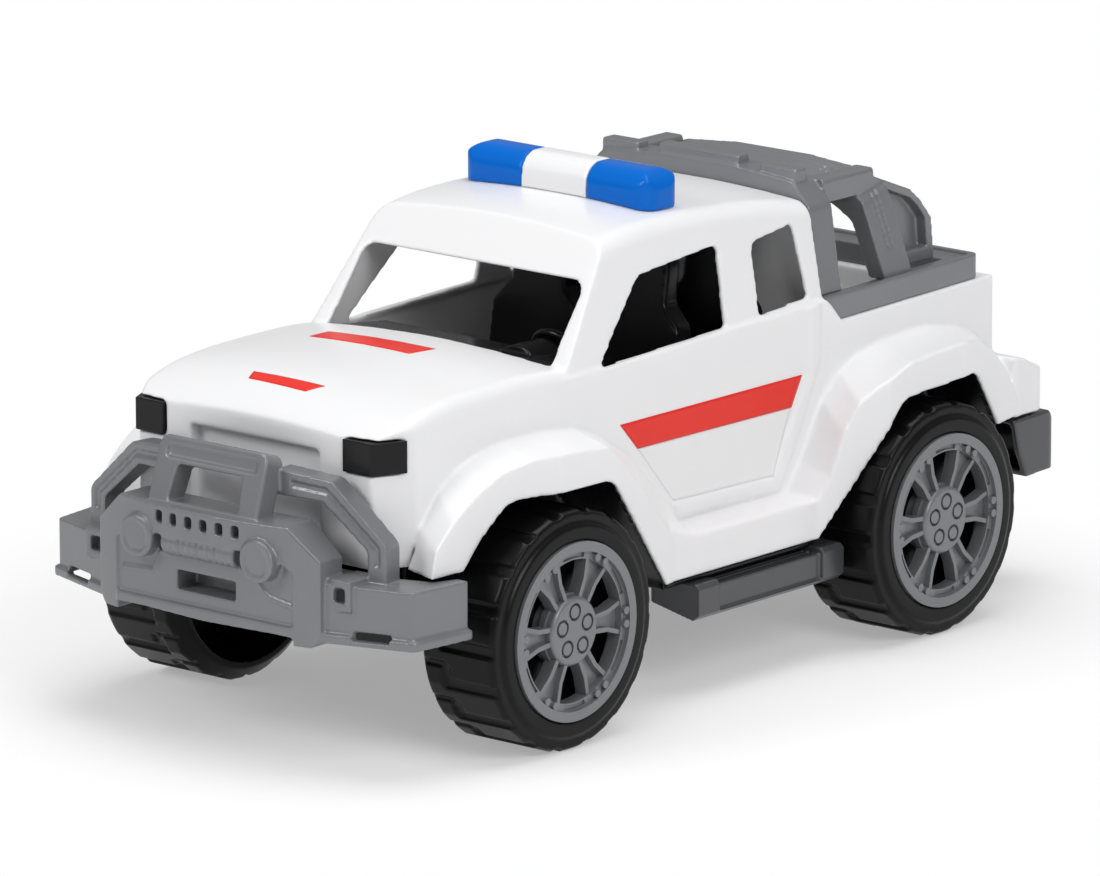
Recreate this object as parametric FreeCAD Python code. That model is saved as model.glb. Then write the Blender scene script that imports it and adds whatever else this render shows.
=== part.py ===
import FreeCAD, Part
import math
import os

# Toy ambulance pickup: a white moulded body on a black chassis, with a grey bull bar, roll cage,
# bed rail and wheel discs, black seats and two wheelsets that roll.
# Frame: origin on the floor under the middle of the whole toy, +Z up, the nose towards -Y,
# the vehicle's own left side towards +X. Millimetres.
# The names that end in share or shares are fractions of the size that they are multiplied by.

V = FreeCAD.Vector
X_AXIS = V(1, 0, 0)
Y_AXIS = V(0, 1, 0)
Z_AXIS = V(0, 0, 1)
ORIGIN = V(0, 0, 0)

# Lengths along the vehicle
front_overhang = 92.9
wheelbase = 208.0
rear_overhang = 88.7
front_y = -(front_overhang + wheelbase + rear_overhang) / 2
rear_y = -front_y
front_axle_y = front_y + front_overhang
rear_axle_y = rear_y - rear_overhang

# Clearances and walls
overrun = 1.0
fit_gap = 0.15
part_gap = 0.3
running_clearance = 0.08
body_wall = 2.2
chassis_wall = 2.4

# Wheels and axles
tyre_radius = 42.8
tyre_width = 37.0
tyre_wall = 7.0
lug_count = 18
lug_depth = 1.1
lug_groove = 4.6
inner_groove = 2.6
shoulder = 4.5
sidewall_radius = 38.4
shoulder_step = 1.3
shoulder_bevel = 0.9
rim_radius = 32.0
rim_proud = 0.8
rim_seat_depth = 10.0
web_thickness = 2.6
hub_tube_radius = 6.0
axle_radius = 2.5
hub_play = 0.7
axle_end_cover = 6.0
axle_z = tyre_radius

# Wheel disc
spoke_count = 6
nut_count = 5
ring_width = 3.6
band_width = 2.8
band_recess = 1.6
face_recess = 4.4
plate_thickness = 2.6
hub_dome_radius = 12.4
hub_dome_rise = 3.4
hub_dome_round = 1.6
nut_circle_share = 0.56
nut_radius = 2.2
nut_recess = 1.0
nut_rise = 1.5
rib_width = 1.7
rib_rise = 2.4
bolt_radius = 1.4
spoke_inner_half = 3.3
spoke_middle_half = 4.0
spoke_outer_half = 6.4
spoke_bend_share = 0.42
bolt_turn_share = 0.085
arc_turn_share = 0.2

# Half widths of the vehicle
body_half_width = 62.0
flare_half_width = 88.0
sill_step = 9.0
sill_half_width = flare_half_width - sill_step
bumper_end_inset = 3.2
bumper_half_width = flare_half_width - bumper_end_inset
tyre_proud = 6.0
tyre_outer_x = flare_half_width + tyre_proud
tyre_inner_x = tyre_outer_x - tyre_width
wheel_face_x = tyre_outer_x + rim_proud
web_x = tyre_outer_x - rim_seat_depth
keel_gap = 7.0
keel_half_width = tyre_inner_x - keel_gap

# Body stations along Y, each measured from the axle that it belongs to
nose_ahead_of_front_axle = 61.9
nose_y = front_axle_y - nose_ahead_of_front_axle
cowl_from_front_axle = 35.9
cowl_y = front_axle_y + cowl_from_front_axle
cab_rear_ahead_of_rear_axle = 29.6
cab_rear_y = rear_axle_y - cab_rear_ahead_of_rear_axle
notch_end_ahead_of_rear_axle = 20.9
notch_end_y = rear_axle_y - notch_end_ahead_of_rear_axle
bed_rear_from_rear_axle = 67.6
bed_rear_y = rear_axle_y + bed_rear_from_rear_axle
tail_from_rear_axle = 78.1
tail_y = rear_axle_y + tail_from_rear_axle
cab_length = cab_rear_y - cowl_y
hood_length = cowl_y - nose_y
bed_length = bed_rear_y - notch_end_y

# Body levels above the axles
sill_over_axle = 0.9
sill_z = axle_z + sill_over_axle
front_skirt_over_axle = 26.9
front_skirt_z = axle_z + front_skirt_over_axle
tail_skirt_over_axle = 23.7
tail_skirt_z = axle_z + tail_skirt_over_axle
tail_top_over_axle = 40.8
tail_top_z = axle_z + tail_top_over_axle
tail_block_length = 6.0
tail_block_rise = 6.0
tail_block_fall = 1.0
notch_step = 3.0
notch_drop = 2.4
hood_nose_over_axle = 74.6
hood_nose_z = axle_z + hood_nose_over_axle
hood_cowl_over_axle = 86.4
hood_cowl_z = axle_z + hood_cowl_over_axle
belt_front_over_axle = 79.1
belt_front_z = axle_z + belt_front_over_axle
belt_rear_over_axle = 82.5
belt_rear_z = axle_z + belt_rear_over_axle
bed_front_over_axle = 73.5
bed_front_z = axle_z + bed_front_over_axle
bed_rake = 1.7
bed_floor_over_axle = 52.7
bed_floor_z = axle_z + bed_floor_over_axle
roof_over_axle = 126.9
roof_z = axle_z + roof_over_axle
hood_edge_drop = 3.0
hood_edge_round = 6.0
hood_shares = [(0.0, 0.0), (0.08, 0.40), (0.20, 0.74), (0.38, 0.95), (0.72, 1.02), (1.0, 0.88)]

# Nose corners, headlights and the recess between them
bevel_width = 7.4
bevel_length = 15.2
headlight_reach = 20.0
headlight_inner_x = body_half_width - headlight_reach
headlight_low_over_axle = 60.9
headlight_low_z = axle_z + headlight_low_over_axle
headlight_height = 11.6
headlight_depth = 6.0
headlight_proud = 1.0
grille_half_width = 30.0
grille_low_over_axle = 33.3
grille_low_z = axle_z + grille_low_over_axle
grille_height = 33.0
grille_depth = 5.0

# Wheel arches: points are shares of the arch unit from the axle, back and up, with a corner radius
arch_clearance = 17.2
arch_unit = tyre_radius + arch_clearance
front_arch_shares = [(-0.77, 0.40, 0), (-0.375, 0.812, 0.2), (0.463, 0.796, 0.15), (1.103, 0.031, 0)]
rear_arch_shares = [(-0.933, 0.001, 0), (-0.293, 0.786, 0.2), (0.457, 0.821, 0.15), (0.777, 0.411, 0)]
arch_floor_share = -0.3
liner_margin = 1.0
liner_wall = 1.8
liner_rise = 3.2
liner_roof_drop = 2.5

# Side relief: where the flares and sill leave the body side, and their outer crease
front_base_shares = [(-0.882, 0.455), (-0.754, 0.655), (-0.579, 0.87), (-0.445, 0.965), (-0.27, 1.02),
                     (-0.049, 1.055), (0.308, 1.055), (0.596, 1.028), (0.851, 0.933), (1.143, 0.755),
                     (1.468, 0.427), (1.585, 0.263)]
front_crease_shares = [(-1.035, 0.455), (-1.041, 0.594), (-0.914, 0.712), (-0.628, 0.888),
                       (-0.467, 0.989), (-0.207, 1.041), (0.141, 1.031), (0.428, 1.001), (0.583, 0.871),
                       (0.777, 0.645), (1.005, 0.29), (1.299, 0.278)]
rear_base_shares = [(-0.896, 0.26), (-0.753, 0.42), (-0.545, 0.765), (-0.373, 0.92), (-0.181, 1.008),
                    (0.012, 1.038), (0.254, 1.052), (0.449, 1.053), (0.745, 0.997), (0.919, 0.935),
                    (1.107, 0.768), (1.107, 0.415)]
rear_crease_shares = [(-0.95, 0.268), (-0.881, 0.389), (-0.818, 0.619), (-0.688, 0.809),
                      (-0.535, 0.893), (-0.228, 1.004), (0.015, 1.024), (0.31, 1.039), (0.459, 1.014),
                      (0.607, 0.924), (0.817, 0.698), (1.084, 0.415)]
plan_front_shares = [(-1.04, 0.0), (-0.55, 0.2), (-0.28, 0.62), (0.0, 1.0), (0.50, 1.0), (1.20, 0.0)]
plan_rear_shares = [(-0.94, 0.0), (-0.44, 1.0), (0.32, 1.0), (1.08, -0.2)]
flare_wall_share = 0.963

# Cab: stations along its length with the height of the roof there, and the section's proportions
roof_shares = [(-0.10, 0.905), (0.13, 0.962), (0.28, 0.992), (0.45, 1.0), (0.68, 0.990), (0.86, 0.969),
               (1.0, 0.943)]
cab_inset = 1.4
cab_half_width = body_half_width - cab_inset
tumblehome_share = 0.19
roof_round = 8.0
roof_crown = 2.0
windshield_low_over_axle = 83.1
windshield_low_z = axle_z + windshield_low_over_axle
windshield_height = 25.6
windshield_inset = 8.3
windshield_half_width = cab_half_width - windshield_inset
windshield_top_in = 1.1
cowl_gap = 2.0
windshield_slope_share = 0.733
windshield_round = 4.5
window_height = 28.5
window_round = 4.0
front_window_shares = [(0.119, -0.01), (0.31, 0.94), (0.622, 1.04), (0.610, 0.02)]
quarter_window_shares = [(0.748, 0.03), (0.755, 0.93), (0.920, 1.02), (0.942, 0.07)]

# Door: a raised bead round the lower edge of the door and a groove ahead of it
bead_rise = 1.3
groove_width = 1.1
groove_depth = 0.8
tailgate_half_width = 47.0
tailgate_low_margin = 4.0
tailgate_top_margin = 3.0
bead_inner_shares = [(0.922, 1.0), (0.922, 0.70), (0.835, 0.44), (0.775, 0.265), (0.385, 0.285)]
bead_outer_shares = [(0.962, 1.0), (0.962, 0.745), (0.880, 0.44), (0.800, 0.205), (0.405, 0.22)]
door_front_shares = [(0.108, 0.86), (0.155, 0.70), (0.26, 0.54), (0.385, 0.285)]

# Cargo bed
bed_side = 10.2
bed_half_width = body_half_width - bed_side
bed_front_gap = 10.0
bed_end_width = 11.5
boss_radius = 4.0
boss_bore = 1.3
boss_inset_x = 10.0
boss_x = keel_half_width - boss_inset_x
boss_inset = 12.0
front_boss_y = nose_y + boss_inset
rear_boss_y = bed_rear_y - boss_inset

# Chassis
plate_over_axle = 8.3
plate_z = axle_z + plate_over_axle
keel_low_under_axle = 6.0
keel_low_z = axle_z - keel_low_under_axle
keel_top_over_axle = 5.3
keel_top_z = axle_z + keel_top_over_axle
keel_front_ahead_of_front_axle = 42.0
keel_front_y = front_axle_y - keel_front_ahead_of_front_axle
keel_rear_from_rear_axle = 34.0
keel_rear_y = rear_axle_y + keel_rear_from_rear_axle
front_plate_y = nose_y + body_wall + part_gap
rear_plate_y = tail_y - body_wall - part_gap
end_plate_ledge = 5.0
end_plate_half_width = keel_half_width + end_plate_ledge

# Screws
screw_radius = 1.2
screw_head_radius = 2.8
screw_slot_width = 0.8
screw_head_height = 1.8
screw_length = 12.0

# Cabin insert, seats and dashboard
insert_floor_over_axle = 27.3
insert_floor_z = axle_z + insert_floor_over_axle
insert_wall = 2.0
insert_side_gap = 1.0
seat_width = 40.0
seat_x = 23.5
seat_base_height = 17.0
seat_back_height = 78.0
seat_back_thickness = 11.0
seat_lean_share = 0.16
headrest_width_share = 0.62
headrest_round = 6.0
neck_share = 0.74
seat_shoulder_drop = 6.0
seat_shoulder_round = 5.0
neck_rise = 2.0
seat_top_share = 0.7
front_seat_share = 0.50
rear_seat_share = 0.86
seat_base_length = 30.0
bolster_width = 6.0
bolster_rise = 5.0
dash_depth = 34.0
dash_top_over_axle = 81.6
dash_top_z = axle_z + dash_top_over_axle
dash_drop = 3.5
dash_height = 22.0
dash_front_gap = 4.0
dash_lip_drop = 5.0
binnacle_x = 25.0
binnacle_radius = 11.0
binnacle_rise = 5.0
steering_radius = 11.0
steering_tube = 1.5
steering_hub = 3.2
steering_column = 2.2
steering_column_length = 10.0
steering_gap = 7.0
steering_drop = 7.0
steering_tilt_deg = 62.0
wiper_length = 34.0
wiper_width = 1.6
wiper_rise = 1.2
wiper_setback = 3.0
wiper_turn_deg = 6.0
wiper_shares = [-0.62, 0.28]

# Front bumper and bull bar
bumper_low_over_axle = 5.7
bumper_low_z = axle_z + bumper_low_over_axle
bumper_high_over_axle = 26.3
bumper_high_z = axle_z + bumper_high_over_axle
bumper_wall = 2.4
bow_radius = 189.0
bumper_side_length = 25.7
bumper_end_flare = 3.2
bumper_corner = 8.0
wing_thickness = 11.0
wing_side_wall = 5.5
wing_end_wall = 5.0
wing_inner_corner = 6.0
wing_bow_shares = [(0.62, 0.46), (0.90, 0.25)]
beam_back_y = nose_y - part_gap
lip_height = 3.4
lip_proud = 1.6
plate_half_width = 51.6
plate_top_half_width = 38.8
plate_chamfer_drop = 10.9
plate_top_over_axle = 45.3
plate_top_z = axle_z + plate_top_over_axle
plate_low_over_axle = 3.5
plate_low_z = axle_z + plate_low_over_axle
band_height = 11.0
band_thickness = 7.0
post_width = 10.5
panel_setback = 5.6
panel_thickness = 5.0
panel_low_over_axle = 6.5
panel_low_z = axle_z + panel_low_over_axle
slot_count = 6
slot_pitch = 7.1
slot_width = 3.3
slot_height = 4.2
slot_over_axle = 40.9
slot_z = axle_z + slot_over_axle
lamp_x = 28.2
lamp_over_axle = 32.3
lamp_z = axle_z + lamp_over_axle
lamp_radius = 7.6
lamp_dish_radius = 5.4
lamp_dish_depth = 0.9
winch_radius = 4.7
winch_half_length = 17.0
winch_over_axle = 31.7
winch_z = axle_z + winch_over_axle
winch_turns = 12
winch_groove = 0.7
winch_proud = 0.6
vent_half_width = 13.6
vent_low_over_axle = 14.7
vent_low_z = axle_z + vent_low_over_axle
vent_height = 7.0
hoop_half_width = 25.6
hoop_inner_half_width = 16.4
hoop_base_over_axle = 43.3
hoop_base_z = axle_z + hoop_base_over_axle
hoop_rise = 26.0
hoop_bar = 9.6
hoop_depth = 8.6
hoop_lean_deg = 18.4
hoop_round = 4.0
hoop_sink = 3.0
hoop_taper = 0.6
hoop_setback = 3.0
hoop_inner_low = 3.4
hoop_inner_taper = 1.4
hoop_inner_round = 1.5
hoop_panel_share = 0.82
hoop_panel_round = 1.2
bar_depth = 8.8
bar_sweep_deg = 6.7
bar_outer_shares = [(0.0, 1.0), (0.50, 0.955), (1.0, 0.40), (1.0, 0.0)]
bar_inner_shares = [(0.83, 0.0), (0.83, 0.33), (0.42, 0.745), (0.0, 0.745)]
bar_reach = 46.0
bar_rise = 36.4
bar_groove = 2.6
bar_groove_depth = 0.8
bar_outer_round = 4.0
bar_inner_round = 3.0
bar_tuck = 2.0
bar_sink = 1.0
bar_setback = 14.6
bar_groove_start = 6.0
bar_groove_end = 7.0
plate_foot = 3.0
plate_foot_rise = 4.0
plate_back = 12.0
window_step_height = 5.0
window_step_width = 9.0
lamp_rim_depth = 2.0
wing_box_x = 57.0
wing_box_width = 10.0
wing_box_height = 9.0
wing_box_rise = 2.0
wing_box_setback = 2.0
wing_hole = 5.0
wing_hole_depth = 8.0
wing_hole_wall = 1.0
wing_slot_length = 14.0
wing_slot_height = 3.0
wing_slot_rise = 1.8
wing_slot_x = 68.5
ridge_width = 1.3
ridge_proud = 0.7
ridge_left_shares = [(-0.94, 0.30), (-0.60, 0.315), (-0.51, 0.51), (-0.30, 0.51)]
ridge_right_shares = [(0.375, 0.49), (0.53, 0.50), (0.665, 0.335), (0.73, 0.295), (0.99, 0.255)]

# Roll cage and bed rail
rail_inset = 1.2
rail_half_width = body_half_width - rail_inset
rail_width = 9.0
rail_height = 9.4
rail_lip = 2.6
rail_lip_depth = 1.6
rail_corner = 3.0
rail_inner_corner = 1.0
rail_post_gap = 3.0
rail_front_y = cab_rear_y + part_gap
rail_rear_inset = 7.3
rail_rear_y = bed_rear_y - rail_rear_inset
post_depth = 13.0
post_thickness = 8.0
cage_top_over_axle = 125.9
cage_top_z = axle_z + cage_top_over_axle
crossbar_height = 9.6
cage_shoulder = 11.0
cage_crown = 2.4
cage_low_round = 5.0
cage_high_round = 6.0
cage_shoulder_wall = 2.0
cage_lamp_rise = 3.6
cage_lamp_depth = 6.5
cage_lamp_setback = 1.0
cage_lamp_round = 0.9
cage_lamp_fall = 1.2
cage_lamp_shares = [(-0.785, -0.49), (-0.325, 0.325), (0.49, 0.785)]
leg_depth = 15.0
leg_thickness = 7.6
leg_base_from_rear_axle = 17.7
leg_base_y = rear_axle_y + leg_base_from_rear_axle
leg_lean_deg = 13.5
leg_top_in = 9.6
leg_shoulder = 6.0
leg_shoulder_drop = 8.0
leg_sink = 5.0
leg_groove_width = 1.0
leg_groove_depth = 0.7
leg_groove_rise = 11.0
hoop_top_drop = 3.6
arm_width = 9.0
arm_height = 9.0
buttress_shares = [(0.0, 0.93), (0.50, 0.72), (0.64, 0.60), (0.80, 0.40), (0.84, 0.0), (0.22, 0.0)]
buttress_length = 34.0
buttress_inset = 18.3
buttress_x = rail_half_width - buttress_inset
buttress_thickness = 7.0
buttress_rim_share = 0.70
buttress_recess = 4.5
buttress_foot_rise = 5.0
buttress_spread_share = 1.25
arm_round = 1.4
arm_drop = 0.6
arm_in = 2.0
groove_inset = 2.6

# Light bar
light_inset = 16.6
light_half_length = cab_half_width - light_inset
light_split_x = 15.0
light_front_from_front_axle = 98.4
light_front_y = front_axle_y + light_front_from_front_axle
light_depth = 19.4
light_top_over_axle = 139.5
light_top_z = axle_z + light_top_over_axle
light_round = 8.0
light_end_round = 6.5
light_seam = 0.2

# Side steps
step_proud = 3.4
step_width = 22.4
step_outer_x = sill_half_width + step_proud
step_inner_x = step_outer_x - step_width
step_front_from_tyre = 38.3
step_front_y = front_axle_y + tyre_radius + step_front_from_tyre
step_rear_from_tyre = 2.1
step_rear_y = rear_axle_y - tyre_radius - step_rear_from_tyre
step_height = 13.6
step_end_length = 12.0
step_tread_drop = 3.2
step_ridge = 1.6
step_ridge_rise = 1.1
step_ridge_count = 4
step_lip = 2.2
step_bevel = 1.5
step_edge_round = 0.6
step_under = 3.0
step_inner_rise = 4.0
step_side_margin = 9.0
step_end_margin = 3.0
step_waist = 1.8
step_wall = 2.4

# Rear bumper
rear_bumper_inset = 11.4
rear_bumper_half_width = flare_half_width - rear_bumper_inset
rear_bumper_shares = [(0.0, 0.97), (0.78, 1.0), (0.90, 0.86), (0.955, 0.22), (1.0, 0.17), (1.0, 0.03),
                      (0.29, 0.0), (0.12, 0.44)]
rear_bumper_depth = 27.0
rear_bumper_corner = 5.0
rear_bumper_bow = 1.2
rear_step_depth = 6.0
rear_step_share = 0.42
rear_bumper_height = 23.2

AT = {"x": lambda a, b, c: V(c, a, b), "y": lambda a, b, c: V(a, c, b), "z": lambda a, b, c: V(a, b, c)}
NORMAL = {"x": X_AXIS, "y": Y_AXIS, "z": Z_AXIS}


# Shapes that the pieces share

def outline(points, axis, at):
    """Closed wire through (a, b) or (a, b, corner radius), in the plane across axis."""
    put = AT[axis]
    spans = []
    for i, point in enumerate(points):
        corner = V(point[0], point[1], 0)
        radius = point[2] if len(point) > 2 else 0
        if radius:
            back = V(points[i - 1][0], points[i - 1][1], 0) - corner
            ahead = V(*points[(i + 1) % len(points)][:2], 0) - corner
            half = back.getAngle(ahead) / 2
            back.normalize()
            ahead.normalize()
            middle = back + ahead
            middle.normalize()
            reach = radius / math.tan(half)
            depth = radius / math.sin(half) - radius
            spans.append((corner + back * reach, corner + middle * depth, corner + ahead * reach))
        else:
            spans.append((corner, None, corner))
    edges = []
    for i, (start, middle, end) in enumerate(spans):
        following = spans[(i + 1) % len(spans)][0]
        if middle:
            arc = [put(p.x, p.y, at) for p in (start, middle, end)]
            edges.append(Part.Arc(*arc).toShape())
        edges.append(Part.LineSegment(put(end.x, end.y, at), put(following.x, following.y, at)).toShape())
    return Part.Wire(edges)


def prism(points, axis, start, end):
    """Solid with the outline given, from start to end along axis."""
    return Part.Face(outline(points, axis, start)).extrude(NORMAL[axis] * (end - start))


def block(x0, x1, y0, y1, z0, z1):
    return Part.makeBox(x1 - x0, y1 - y0, z1 - z0, V(x0, y0, z0))


def rod(axis, radius, a, b, start, end):
    """Cylinder along axis, centred on (a, b) in the plane across it."""
    return Part.makeCylinder(radius, end - start, AT[axis](a, b, start), NORMAL[axis])


def revolved(points):
    """Solid of revolution about the X axis through the points of its half profile."""
    solid = Part.Face(Part.makePolygon(points + points[:1])).revolve(ORIGIN, X_AXIS, 360)
    return solid if solid.Volume > 0 else solid.reversed()


def join(shapes):
    return shapes[0].multiFuse(shapes[1:]).removeSplitter()


def cut(shape, tools):
    return shape.cut(list(tools))


def mirrored(shape):
    return shape.mirror(ORIGIN, X_AXIS)


def both_sides(shape):
    return [shape, mirrored(shape)]


def moved(shape, offset):
    copy = shape.copy()
    copy.translate(offset)
    return copy


def turned(shape, centre, axis, degrees):
    copy = shape.copy()
    copy.rotate(centre, axis, degrees)
    return copy


def largest(shape):
    """The main solid of a shape, without slivers that a cut left."""
    return max(shape.Solids, key=lambda s: s.Volume)


def mirror_points(points):
    """Half outline from the middle outwards, completed by its mirror image."""
    return list(points) + [(-p[0],) + tuple(p[1:]) for p in reversed(points)]


# Wheels

def make_tyre():
    """Hollow black wheel on the left side: tread ring with L-shaped grooves, web and hub tube."""
    bore = tyre_radius - tyre_wall
    groove_floor = tyre_radius - lug_depth
    half_lug = math.pi / lug_count
    facet_radius = tyre_radius / math.cos(half_lug)
    lugs = []
    for k in range(lug_count):
        angle = 2 * half_lug * (k + 0.5) - math.pi / 2
        lugs.append((facet_radius * math.cos(angle), facet_radius * math.sin(angle)))
    ring = prism(lugs, "x", tyre_inner_x, tyre_outer_x)
    core = axle_radius / 2
    step_x = tyre_outer_x - shoulder_step
    profile = [(core, tyre_inner_x), (tyre_radius - shoulder, tyre_inner_x),
               (facet_radius + overrun, tyre_inner_x + shoulder + overrun),
               (facet_radius + overrun, step_x - shoulder),
               (tyre_radius - shoulder_bevel, step_x), (sidewall_radius, step_x),
               (sidewall_radius - shoulder_bevel, tyre_outer_x), (core, tyre_outer_x)]
    points = [V(x, 0, r) for r, x in profile]
    ring = ring.common(revolved(points))
    middle_x = tyre_inner_x + tyre_width * 0.36
    band = lug_groove / 2
    pitch = 2 * half_lug
    low = groove_floor
    high = facet_radius + overrun
    outer_slot = block(middle_x - band, tyre_outer_x + overrun, -band, band, low, high)
    foot = block(middle_x - band, middle_x + band, 0, high * math.sin(half_lug), low, high)
    inner_slot = block(tyre_inner_x - overrun, middle_x, -inner_groove / 2, inner_groove / 2, low, high)
    grooves = []
    for k in range(lug_count):
        for slot, turn in ((outer_slot, 0.5), (foot, 0.5), (inner_slot, 0.0)):
            grooves.append(turned(slot, ORIGIN, X_AXIS, math.degrees(pitch) * (k + turn)))
    keep = rod("x", sidewall_radius, 0, 0, step_x, tyre_outer_x)
    ring = cut(ring, [groove.cut(keep) for groove in grooves])
    ring = ring.cut(rod("x", bore, 0, 0, tyre_inner_x - overrun, web_x - web_thickness))
    ring = ring.cut(rod("x", rim_radius + fit_gap, 0, 0, web_x, tyre_outer_x + overrun))
    tube = rod("x", hub_tube_radius, 0, 0, chassis_side_x() + hub_play, web_x - web_thickness / 2)
    tyre = join([ring, tube]).cut(rod("x", axle_radius, 0, 0, tyre_inner_x - tyre_width, web_x + overrun))
    return moved(tyre, V(0, 0, axle_z))


def chassis_side_x():
    """Outer face of the chassis beside the wheels."""
    return keel_half_width + chassis_wall


def make_wheel_disc():
    """Grey wheel disc on the left side: outer ring, six ribbed spokes, hub dome with five nuts."""
    face = wheel_face_x
    floor = face - face_recess
    back = floor - plate_thickness
    band = face - band_recess
    ring_inner = rim_radius - ring_width
    hole_outer = ring_inner - band_width
    hole_inner = hub_dome_radius + rib_width / 2
    disc = rod("x", rim_radius, 0, 0, back, face).cut(rod("x", ring_inner, 0, 0, band, face + overrun))
    disc = disc.cut(rod("x", hole_outer, 0, 0, floor, face + overrun))
    skirt = rod("x", rim_radius, 0, 0, web_x + part_gap, back)
    skirt = skirt.cut(rod("x", rim_radius - plate_thickness, 0, 0, web_x, back))
    dome = rod("x", hub_dome_radius, 0, 0, web_x + part_gap, floor + hub_dome_rise)
    rims = [e for e in dome.Edges if abs(e.BoundBox.XMin - floor - hub_dome_rise) < fit_gap]
    dome = dome.makeFillet(hub_dome_round, [e for e in rims if len(e.Vertexes) == 1])
    turn = 360 / spoke_count
    bend = hole_inner + (hole_outer - hole_inner) * spoke_bend_share
    edge = [(spoke_inner_half, hub_dome_radius - rib_width), (spoke_middle_half, bend),
            (spoke_outer_half, hole_outer + fit_gap)]
    rib = edge + [(t - rib_width, r) for t, r in reversed(edge)]
    ribs = [prism(rib, "x", floor - fit_gap, floor + rib_rise)]
    ribs.append(prism([(-t, r) for t, r in rib], "x", floor - fit_gap, floor + rib_rise))
    spoke = prism(mirror_points(edge), "x", back - 2 * overrun, floor + 2 * overrun)
    bolt = rod("x", bolt_radius, 0, (hole_outer + ring_inner) / 2, band - fit_gap, face - fit_gap)
    arc = rod("x", ring_inner - rib_width / 3, 0, 0, band - band_recess / 2, face)
    arc = arc.cut(rod("x", hole_outer + rib_width / 3, 0, 0, band - band_recess, face + overrun))
    reach = rim_radius * math.tan(math.radians(turn * arc_turn_share))
    arc = arc.common(prism([(0, 0), (reach, rim_radius), (-reach, rim_radius)], "x", back, face))
    pieces = [disc, skirt, dome]
    spokes = []
    cuts = []
    for k in range(spoke_count):
        middle = turn * (k + 0.5)
        spokes.append(turned(spoke, ORIGIN, X_AXIS, middle))
        cuts.append(turned(arc, ORIGIN, X_AXIS, turn * k))
        pieces += [turned(shape, ORIGIN, X_AXIS, middle) for shape in ribs]
        pieces += [turned(bolt, ORIGIN, X_AXIS, middle + side * turn * bolt_turn_share) for side in (-1, 1)]
    holes = rod("x", hole_outer, 0, 0, back - overrun, floor + overrun)
    holes = cut(holes, [rod("x", hole_inner, 0, 0, back - 2 * overrun, floor + 2 * overrun)] + spokes)
    cuts += holes.Solids
    nut_circle = hub_dome_radius * nut_circle_share
    top = floor + hub_dome_rise
    for k in range(nut_count):
        angle = 2 * math.pi * (k + 0.25) / nut_count
        a = nut_circle * math.cos(angle)
        b = nut_circle * math.sin(angle)
        seat = rod("x", nut_radius + nut_recess, a, b, top - nut_rise, top + overrun)
        cuts.append(seat.cut(rod("x", nut_radius, a, b, floor, top + overrun)))
    disc = cut(join(pieces), cuts)
    disc = disc.cut(rod("x", axle_radius + fit_gap, 0, 0, web_x, web_x + axle_end_cover / 2))
    return moved(largest(disc), V(0, 0, axle_z))


def make_axle():
    end = web_x + axle_end_cover / 4
    return rod("x", axle_radius, 0, axle_z, -end, end)


# Body

def arch_outline(shares, axle_y, margin=0.0):
    """Wheel arch outline about its axle, grown outwards by margin and closed below the body."""
    unit = arch_unit
    points = []
    for a, b, corner in shares:
        away = V(a, b, 0)
        away.normalize()
        points.append((axle_y + unit * a + margin * away.x, axle_z + unit * b + margin * max(away.y, 0),
                       unit * corner))
    low = axle_z + unit * arch_floor_share
    first = points[0]
    last = points[-1]
    return [(first[0], low)] + points + [(last[0], low)]


def relief_points(front_shares, rear_shares, factor=1.0, lowered=0.0, extra_low=0.0):
    """Outline of the flares and sill: over the front wheel, along the sill, over the rear wheel."""
    unit = arch_unit * factor
    points = [(front_axle_y + unit * a, axle_z + unit * b - lowered) for a, b in front_shares]
    points += [(rear_axle_y + unit * a, axle_z + unit * b - lowered) for a, b in rear_shares]
    low = sill_z - extra_low
    return points + [(rear_axle_y, points[-1][1]), (rear_axle_y, low), (front_axle_y, low),
                     (front_axle_y, points[0][1])]


def make_relief(inside):
    """Flares and sill on the left side, whole or as the hollow inside their wall."""
    if inside:
        size = (flare_wall_share, body_wall / 2, body_wall)
        base = relief_points(front_base_shares, rear_base_shares, *size)
        crease = relief_points(front_crease_shares, rear_crease_shares, *size)
        base_x = body_half_width - 2 * body_wall
        crease_x = flare_half_width - body_wall
    else:
        base = relief_points(front_base_shares, rear_base_shares)
        crease = relief_points(front_crease_shares, rear_crease_shares)
        base_x = body_half_width - body_wall / 2
        crease_x = flare_half_width
    relief = Part.makeLoft([outline(base, "x", base_x), outline(crease, "x", crease_x)], True, True)
    return relief.common(make_plan(body_wall if inside else 0))


def make_plan(inset):
    """Prism with the left side's plan: sill width, wider over both wheels, narrower at the tail."""
    bulge = flare_half_width - sill_half_width
    points = [(0, front_y), (sill_half_width - inset, front_y)]
    for shares, axle_y in ((plan_front_shares, front_axle_y), (plan_rear_shares, rear_axle_y)):
        points += [(sill_half_width + bulge * b - inset, axle_y + arch_unit * a) for a, b in shares]
    return prism(points + [(points[-1][0], rear_y), (0, rear_y)], "z", 0, roof_z)


def hood_section(y, middle_z, inset):
    """Hood cross-section with rounded edges and a light crown."""
    half = body_half_width - inset
    top = middle_z - inset
    edge = top - hood_edge_drop
    round_in = hood_edge_round
    low = front_skirt_z + grille_height / 2
    turn = round_in * (1 - math.cos(math.pi / 4))
    right = [V(half, y, low), V(half, y, edge - round_in), V(half - turn, y, edge - turn),
             V(half - round_in, y, edge)]
    left = [V(-p.x, p.y, p.z) for p in reversed(right)]
    edges = [Part.LineSegment(left[-1], right[0]).toShape(), Part.LineSegment(right[0], right[1]).toShape(),
             Part.Arc(right[1], right[2], right[3]).toShape(),
             Part.Arc(right[3], V(0, y, top), left[0]).toShape(),
             Part.Arc(left[0], left[1], left[2]).toShape(), Part.LineSegment(left[2], left[3]).toShape()]
    return Part.Wire(edges)


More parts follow.
